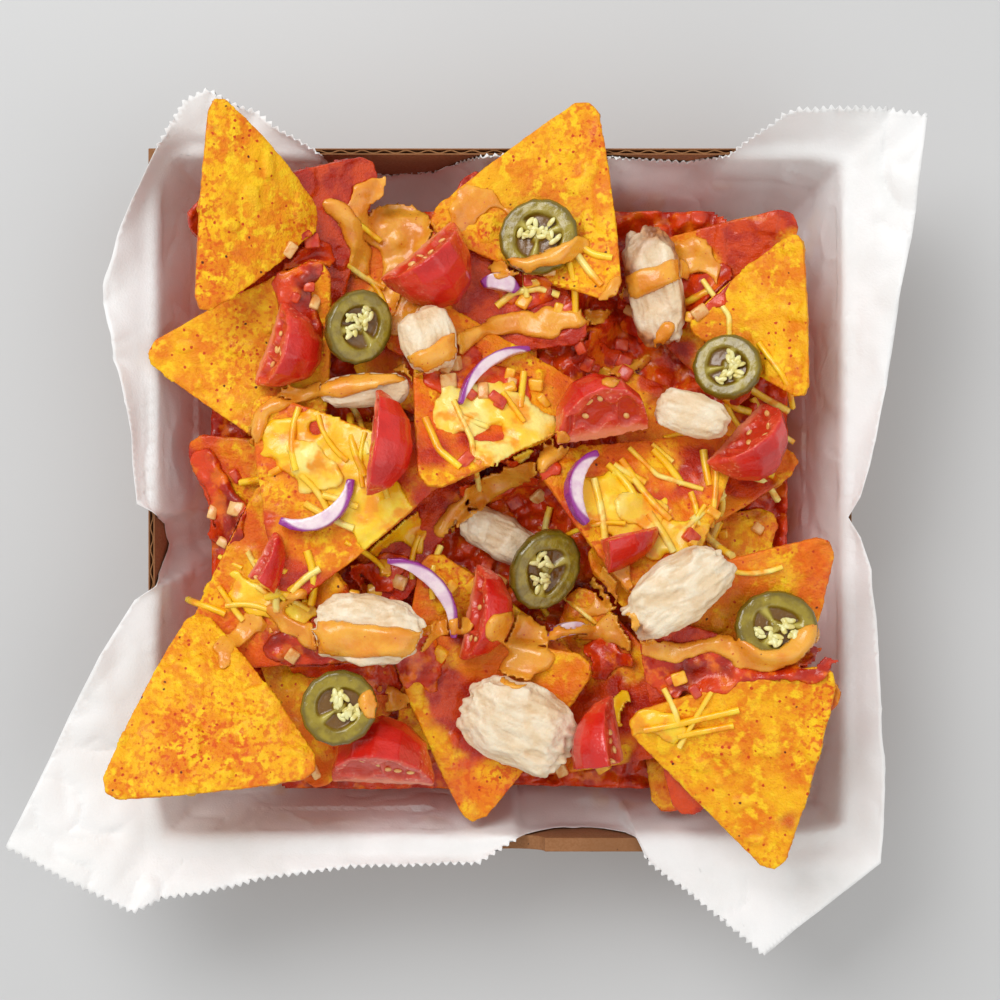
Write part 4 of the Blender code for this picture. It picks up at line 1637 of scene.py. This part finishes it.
@dataclass
class SalsaBits:
    """Diced tomato, onion and corn lying in the salsa between the chips."""

    count: int = 90
    patches: tuple = (
        (-10, 34, 16, 8), (-38, -46, 22, 8), (56, -48, 26, 6), (2, 4, 16, 10), (50, 56, 16, 8),
        (-58, 62, 6, 14), (-34, -24, 8, 6), (30, 42, 10, 8), (8, 60, 12, 6), (0, -76, 60, 5),
        (66, -10, 14, 8), (-24, 60, 10, 10), (24, 34, 14, 8), (-80, 0, 5, 14), (-10, -22, 12, 6),
    )  # fmt: skip

    def build(self, ground: HeightMap, finishes: dict[str, bpy.types.Material]) -> None:
        """Scatters the bits, one object for each kind of bit.

        Args:
            ground: what they lie on.
            finishes: the material of each kind.
        """
        rng = np.random.default_rng(77)
        heights = HeightMap.blur(ground.filled(), 1.2)
        for kind, (name, finish) in enumerate(finishes.items()):
            bm = bmesh.new()
            for k in range(self.count // len(finishes)):
                x, y, wide, deep = self.patches[int(rng.integers(len(self.patches)))]
                x, y = x + rng.uniform(-wide, wide), y + rng.uniform(-deep, deep)
                size = rng.uniform(1.3, 2.5, 3) * (1.0, 0.9, 0.6)
                cube = bmesh.ops.create_cube(bm, size=2.0)["verts"]
                edges = list({edge for vert in cube for edge in vert.link_edges})
                bmesh.ops.scale(bm, verts=cube, vec=[value * MM for value in size])
                made = bmesh.ops.bevel(
                    bm, geom=edges, offset=0.55 * MM, affect="EDGES", segments=2, profile=0.5, material=-1
                )["verts"]
                body = list({vert for face in made for vert in self.island(face)})
                tip = rng.uniform(-0.4, 0.4, 3) + (0, 0, 1)
                spot = np.array([x, y, ground.at(x, y, heights) + 0.25 * size[2]])
                bmesh.ops.transform(bm, verts=body, matrix=seat(spot, tip, rng.uniform(0, 6.3)))
            obj = object_from(bm, name)
            place_piece(obj, finish)

    @staticmethod
    def island(vert: bmesh.types.BMVert) -> list[bmesh.types.BMVert]:
        """The points joined to one point by a face."""
        return [other for face in vert.link_faces for other in face.verts]


# --- sauces ----------------------------------------------------------------
@dataclass
class Stroke:
    """One poured line: its route in millimetres and its half-width."""

    route: tuple[tuple[float, float], ...]
    half: float

    def distance(self, x: np.ndarray, y: np.ndarray) -> np.ndarray:
        """How far each place lies outside the stroke, less than 0 inside it.

        Args:
            x: places along X, in millimetres.
            y: places along Y, in millimetres.

        Returns:
            The distance at each place.
        """
        best = np.full(x.shape, 1e3)
        ends = list(zip(self.route, self.route[1:])) or [(self.route[0], self.route[0])]
        for (ax, ay), (bx, by) in ends:
            length = max((bx - ax) ** 2 + (by - ay) ** 2, 1e-6)
            share = np.clip(((x - ax) * (bx - ax) + (y - ay) * (by - ay)) / length, 0, 1)
            gap = np.hypot(x - ax - share * (bx - ax), y - ay - share * (by - ay))
            best = np.minimum(best, gap)
        return best - self.half


@dataclass
class Pour:
    """Something runny laid over the heap: where, how thick, how smooth."""

    name: str
    strokes: tuple[Stroke, ...]
    depth: float
    shoulder: float
    bridge: float
    wobble: float
    lumps: float
    seed: int
    break_length: float = 2.2

    def build(self, ground: HeightMap, finish: bpy.types.Material) -> bpy.types.Object:
        """Pours it over the ground.

        Args:
            ground: what it lies on, and is added to.
            finish: its material.

        Returns:
            The poured piece.
        """
        x, y = ground.grid()
        gap = np.min([stroke.distance(x, y) for stroke in self.strokes], axis=0)
        flat = np.stack([x.ravel(), y.ravel(), np.zeros(x.size)], axis=1)
        near = np.abs(gap.ravel()) < 14
        shake = np.zeros(x.size)
        shake[near] = Noise.fractal(flat[near], 8.0, self.seed, 3)
        lump = np.zeros(x.size)
        lump[near] = ramp(0.2, 0.8, Noise.bumps(flat[near], 5.5, self.seed + 3))
        lump = HeightMap.blur(lump.reshape(x.shape), 1.0) * self.lumps
        gap = gap + self.wobble * shake.reshape(x.shape)
        top = ground.filled()
        soft = HeightMap.blur(top, self.bridge / ground.step)
        share = np.clip(-gap / self.shoulder, 0, 1)
        dome = np.sqrt(1 - (1 - share) ** 2)
        swell = 1 + 0.35 * HeightMap.blur(shake.reshape(x.shape), 2)
        level = np.maximum(soft, top - 1.2) + (self.depth * swell + lump) * dome
        level = np.where(share > 0, np.maximum(level, top + 0.25 * dome), np.minimum(top, soft) - 0.3)
        slope = np.stack(np.gradient(gap, ground.step), axis=-1)
        return self.sheet(ground, gap, slope, level, dome, finish)

    def sheet(
        self,
        ground: HeightMap,
        gap: np.ndarray,
        slope: np.ndarray,
        level: np.ndarray,
        dome: np.ndarray,
        finish: bpy.types.Material,
    ) -> bpy.types.Object:
        """Cuts the poured surface out of a grid and gives it a body.

        Args:
            ground: what it lies on.
            gap: how far each cell lies outside the pour.
            slope: which way that grows.
            level: the height of the poured surface.
            dome: the surface's swell, 0 at its edge and 1 inside.
            finish: its material.

        Returns:
            The poured piece.
        """
        kept = np.argwhere(gap < ground.step)
        (low_i, low_j), (high_i, high_j) = kept.min(axis=0), kept.max(axis=0)
        wide, deep = high_i - low_i, high_j - low_j
        bm = bmesh.new()
        bmesh.ops.create_grid(bm, x_segments=int(wide), y_segments=int(deep), size=0.5)
        outside = []
        weights = bm.verts.layers.float.new("thick")
        for vert in bm.verts:
            i = low_i + int(round((vert.co.x + 0.5) * wide))
            j = low_j + int(round((vert.co.y + 0.5) * deep))
            over = gap[i, j]
            if over >= ground.step:
                outside.append(vert)
                continue
            pull = slope[i, j] * max(over, 0.0)
            place = (i * ground.step - ground.reach - pull[0], j * ground.step - ground.reach - pull[1])
            vert.co = Vector((*place, level[i, j])) * MM
            vert[weights] = dome[i, j]
        bmesh.ops.delete(bm, geom=outside, context="VERTS")
        hanging = [edge for edge in bm.edges if edge.calc_length() > self.break_length * MM]
        bmesh.ops.delete(bm, geom=hanging, context="EDGES")
        bmesh.ops.delete(bm, geom=[v for v in bm.verts if not v.link_faces], context="VERTS")
        for _ in range(2):
            bmesh.ops.smooth_vert(
                bm, verts=bm.verts, factor=0.5, use_axis_x=True, use_axis_y=True, use_axis_z=True
            )
        obj = object_from(bm, self.name)
        body = obj.modifiers.new("body", "SOLIDIFY")
        body.thickness = 0.7 * MM
        body.offset = -1
        apply_modifiers(obj)
        place_piece(obj, finish)
        ground.add(obj)
        return obj


DRIZZLE = (
    Stroke(((-70, 17), (-67, 25), (-59, 30), (-47, 31), (-36, 34)), 3.0),
    Stroke(((-36, 34), (-28, 36), (-17, 41), (-8, 47), (-3, 50), (6, 51), (14, 49)), 3.3),
    Stroke(((0, 66), (8, 67), (17, 70), (22, 73)), 3.2),
    Stroke(((14, 53), (22, 52), (28, 54), (33, 60), (46, 64), (53, 67)), 3.0),
    Stroke(((30, 33), (35, 38), (42, 41), (47, 46), (49, 49)), 2.4),
    Stroke(((16, 16), (11, 10), (1, 6), (-7, 1), (-13, -4), (-16, -9)), 3.0),
    Stroke(((-56, -27), (-65, -31), (-61, -35), (-53, -39)), 2.2),
    Stroke(((-53, -39), (-44, -38), (-38, -39), (-30, -39), (-24, -40)), 4.6),
    Stroke(((-24, -40), (-19, -37), (-11, -36)), 3.0),
    Stroke(((1, -36), (8, -41), (10, -46), (5, -49)), 5.0),
    Stroke(((0, -34), (8, -36), (17, -38), (28, -38), (35, -34)), 3.0),
    Stroke(((31, -39), (42, -41), (50, -42), (56, -40), (61, -40)), 2.6),
    Stroke(((61, -40), (67, -43), (74, -44), (81, -42), (86, -38)), 3.4),
    Stroke(((-36, -57), (-29, -58)), 3.2),
    Stroke(((-47, 84), (-43, 80), (-40, 73), (-40, 67)), 3.2),
)
SALSA = (
    Stroke(((-16, 40), (-6, 34), (2, 30)), 7.0),
    Stroke(((-58, -42), (-40, -48), (-22, -47)), 7.5),
    Stroke(((30, -46), (50, -48), (70, -46), (84, -44)), 6.0),
    Stroke(((-8, -2), (6, 8), (14, 12)), 5.0),
    Stroke(((44, 52), (54, 58), (62, 62)), 7.0),
    Stroke(((-54, 72), (-60, 60), (-56, 50)), 5.0),
    Stroke(((-30, -20), (-38, -24)), 5.0),
    Stroke(((-86, 10), (-80, 2), (-78, -8)), 5.0),
    Stroke(((26, 44), (34, 40)), 5.0),
    Stroke(((4, 60), (12, 60)), 5.0),
)
MELTS_WARM = (
    Stroke(((-58, 16), (-48, 9), (-38, 0), (-33, -8)), 9.0),
    Stroke(((-46, 18), (-36, 12)), 7.0),
    Stroke(((26, 2), (38, -6), (52, -11)), 8.0),
    Stroke(((38, -60), (47, -64)), 5.0),
    Stroke(((-72, -26), (-60, -30)), 5.0),
)
CHEESE_SAUCE = (
    Stroke(((-36, 84), (-28, 76), (-22, 66), (-32, 56)), 9.0),
    Stroke(((-10, 82), (-2, 86), (6, 80)), 4.0),
    Stroke(((44, 66), (56, 70)), 5.0),
    Stroke(((34, -22), (30, -30), (24, -34)), 3.0),
    Stroke(((-70, -36), (-78, -40)), 4.0),
)
MELTS_PALE = (
    Stroke(((-10, 27), (2, 25), (12, 20)), 6.5),
    Stroke(((-2, 12), (6, 14)), 4.0),
    Stroke(((-57, 14), (-50, 6)), 4.5),
    Stroke(((36, -1), (42, -5)), 3.5),
)


@dataclass
class CheeseShreds:
    """Thin strips of grated cheese lying over the heap."""

    half: float = 1.05
    placed: tuple = (
        ((21, 74), (27, 70), (32, 69)), ((-1, 56), (4, 60), (11, 61), (17, 59)),
        ((47, 53), (53, 57), (61, 61)), ((59, 64), (62, 59), (66, 53), (66, 46)),
        ((74, 45), (80, 36), (85, 27)), ((73, 33), (78, 30), (85, 26)),
        ((66, 30), (70, 27), (74, 26)), ((81, 21), (84, 19), (87, 17)),
        ((73, 9), (76, 9), (80, 7)), ((73, 7), (78, 5), (82, 0)),
        ((-75, 5), (-68, 6), (-62, 9)), ((37, 15), (45, 7), (58, 3)),
        ((32, 8), (39, 5)), ((63, 5), (64, -2), (62, -11)),
        ((4, -16), (8, -25), (14, -34)), ((10, -21), (17, -27), (28, -36)),
        ((40, -64), (50, -62), (66, -58)), ((-13, 28), (-8, 17), (-6, 3)),
        ((-21, 23), (-17, 14), (-11, 9)),
    )  # fmt: skip
    regions: tuple = (
        (-66, -28, 13, 10, 14), (-46, 2, 15, 11, 9), (46, -5, 17, 11, 10), (-28, 66, 12, 10, 4),
        (52, 6, 14, 6, 4), (12, -24, 12, 7, 5), (56, -66, 14, 6, 3), (72, 24, 10, 12, 3),
        (70, -16, 10, 6, 3), (-4, 20, 12, 7, 3), (20, 60, 14, 8, 3), (-20, -28, 14, 7, 3),
    )  # fmt: skip

    def build(self, ground: HeightMap, warm: bpy.types.Material, pale: bpy.types.Material) -> None:
        """Lays every strip on the heap in two colours.

        Args:
            ground: what it lies on.
            warm: the yellow strips' material.
            pale: the pale strips' material.
        """
        heights = HeightMap.blur(ground.filled(), 1.6)
        rng = np.random.default_rng(21)
        routes = [list(route) for route in self.placed]
        for x, y, wide, deep, count in self.regions:
            for _ in range(count):
                routes.append(self.random_route(rng, x, y, wide, deep))
        for name, finish, chosen in (
            ("cheese_shreds_yellow", warm, routes[::2]),
            ("cheese_shreds_pale", pale, routes[1::2]),
        ):
            curve = bpy.data.curves.new(name, "CURVE")
            curve.dimensions = "3D"
            curve.bevel_depth = self.half * MM
            curve.bevel_resolution = 1
            curve.resolution_u = 4
            curve.use_fill_caps = True
            for route in chosen:
                self.strip(curve, route, ground, heights, rng)
            source = bpy.data.objects.new(name, curve)
            bpy.context.scene.collection.objects.link(source)
            graph = bpy.context.evaluated_depsgraph_get()
            mesh = bpy.data.meshes.new_from_object(source.evaluated_get(graph))
            bpy.data.objects.remove(source, do_unlink=True)
            obj = bpy.data.objects.new(name, mesh)
            bpy.context.scene.collection.objects.link(obj)
            place_piece(obj, finish)

    def random_route(
        self, rng: np.random.Generator, x: float, y: float, wide: float, deep: float
    ) -> list[tuple[float, float]]:
        """A short curved route somewhere in a region.

        Args:
            rng: where random draws come from.
            x: the region's middle along X.
            y: the region's middle along Y.
            wide: half the region's width.
            deep: half the region's depth.

        Returns:
            The route's points.
        """
        x, y = x + rng.uniform(-wide, wide), y + rng.uniform(-deep, deep)
        aim, bend = rng.normal(2.1, 0.7), rng.uniform(-0.05, 0.05)
        route = [(x, y)]
        for _ in range(int(rng.integers(3, 8))):
            x, y = x + 2.6 * math.cos(aim), y + 2.6 * math.sin(aim)
            aim += bend * 2.6
            route.append((x, y))
        return route

    def strip(
        self,
        curve: bpy.types.Curve,
        route: list[tuple[float, float]],
        ground: HeightMap,
        heights: np.ndarray,
        rng: np.random.Generator,
    ) -> None:
        """Adds one strip to the curve, resting on the heap.

        Args:
            curve: the curve that holds the strips.
            route: the strip's route in millimetres.
            ground: what it lies on.
            heights: the heights to read.
            rng: where random draws come from.
        """
        dense = []
        for (ax, ay), (bx, by) in zip(route, route[1:]):
            steps = max(1, int(math.hypot(bx - ax, by - ay) / 2.0))
            dense += [(ax + (bx - ax) * k / steps, ay + (by - ay) * k / steps) for k in range(steps)]
        dense.append(route[-1])
        rise = np.array([ground.at(x, y, heights) for x, y in dense]) + self.half * 0.35
        for _ in range(3):
            wide = np.pad(rise, 1, mode="edge")
            rise = np.maximum(rise - 0.6, (wide[:-2] + wide[1:-1] + wide[2:]) / 3)
        spline = curve.splines.new("NURBS")
        spline.points.add(len(dense) - 1)
        size = rng.uniform(0.7, 1.15)
        for k, ((x, y), z) in enumerate(zip(dense, rise)):
            spline.points[k].co = (x * MM, y * MM, z * MM, 1.0)
            spline.points[k].radius = size
        spline.order_u = 3
        spline.use_endpoint_u = True


# --- studio ----------------------------------------------------------------
@dataclass
class Studio:
    """A pale floor, soft lamps and the camera above the box."""

    camera_height: float = 608.0
    lens: float = 69.5

    def build(self) -> None:
        """Makes the floor, the light and the camera."""
        self.floor()
        self.light("key_lamp", (-0.5, 0.6, 1.0), 0.7, 8.4)
        self.light("fill_lamp", (0.8, -0.5, 1.1), 1.4, 4.2)
        world = bpy.data.worlds.new("room")
        world.use_nodes = True
        world.node_tree.nodes["Background"].inputs[0].default_value = (1.0, 0.99, 0.97, 1)
        world.node_tree.nodes["Background"].inputs[1].default_value = 0.6
        bpy.context.scene.world = world
        bpy.context.scene.view_settings.view_transform = "Standard"
        data = bpy.data.cameras.new("camera")
        data.lens = self.lens
        data.sensor_width = 36.0
        data.clip_start = 0.01
        camera = bpy.data.objects.new("camera", data)
        camera.location = (0, 0, self.camera_height * MM)
        bpy.context.scene.collection.objects.link(camera)
        bpy.context.scene.camera = camera

    def floor(self) -> None:
        """A wide pale floor just under the box."""
        bm = bmesh.new()
        bmesh.ops.create_grid(bm, x_segments=1, y_segments=1, size=3.0)
        obj = object_from(bm, "floor")
        made = Finish("pale_floor")
        shade = made.patches(3, 0.3, 0.7)
        made.set(Base_Color=made.shader.mix(shade, srgb(206, 207, 208), srgb(203, 204, 205)))
        made.set(Roughness=made.shader.between(shade, 0.0, 1.0, 0.6, 0.7))
        obj.data.materials.append(made.material)

    def light(self, name: str, place: tuple[float, float, float], size: float, power: float) -> None:
        """A square white lamp that faces the box.

        Args:
            name: its name.
            place: where it stands, in metres.
            size: its width in metres.
            power: its strength in watts.
        """
        data = bpy.data.lights.new(name, "AREA")
        data.shape = "SQUARE"
        data.size = size
        data.energy = power
        lamp = bpy.data.objects.new(name, data)
        lamp.location = place
        lamp.rotation_euler = (-Vector(place)).to_track_quat("-Z", "Y").to_euler()
        bpy.context.scene.collection.objects.link(lamp)


def main() -> None:
    """Builds every sub-assembly in order, from the box up."""
    logging.basicConfig(level=logging.INFO, format="%(message)s")
    Studio().build()
    CardboardBox().build()
    PaperLiner().build()
    salsa = salsa_finish()
    filling = Filling().build(salsa)
    base = HeightMap()
    base.add(filling)
    for chip in CornChips().build():
        base.add(chip)
    warm = cheese_finish("cheese_yellow", srgb(255, 194, 8), srgb(255, 216, 50))
    pale = cheese_finish("cheese_pale", srgb(254, 206, 52), srgb(252, 232, 130))
    Pour("salsa_pools", SALSA, 1.0, 4.0, 1.6, 3.6, 2.2, 31).build(base, salsa)
    sauce = drizzle_finish()
    Pour("cheese_sauce", CHEESE_SAUCE, 0.8, 3.0, 1.5, 4.0, 1.4, 43).build(base, sauce)
    Pour("melted_cheese_yellow", MELTS_WARM, 1.1, 3.0, 1.5, 4.2, 1.0, 37).build(base, warm)
    Pour("melted_cheese_pale", MELTS_PALE, 1.2, 3.0, 1.5, 3.6, 1.3, 41).build(base, pale)
    dice = {
        "tomato_dice": seed_finish("tomato_dice", srgb(222, 84, 40), srgb(200, 46, 20)),
        "onion_dice": seed_finish("onion_dice", srgb(238, 190, 120), srgb(226, 150, 70)),
        "sweetcorn_bits": seed_finish("sweetcorn", srgb(250, 190, 50), srgb(244, 160, 24)),
    }
    SalsaBits().build(base, dice)
    toppings = TomatoWedges().build() + JalapenoSlices().build()
    toppings += ChickenPieces().build() + OnionArcs().build()
    full = base.copy()
    for topping in toppings:
        full.add(topping)
    CheeseShreds().build(base, warm, pale)
    Pour("mayonnaise_drizzle", DRIZZLE, 1.9, 2.6, 1.0, 1.3, 0.0, 53).build(full, sauce)


if __name__ == "__main__":
    main()
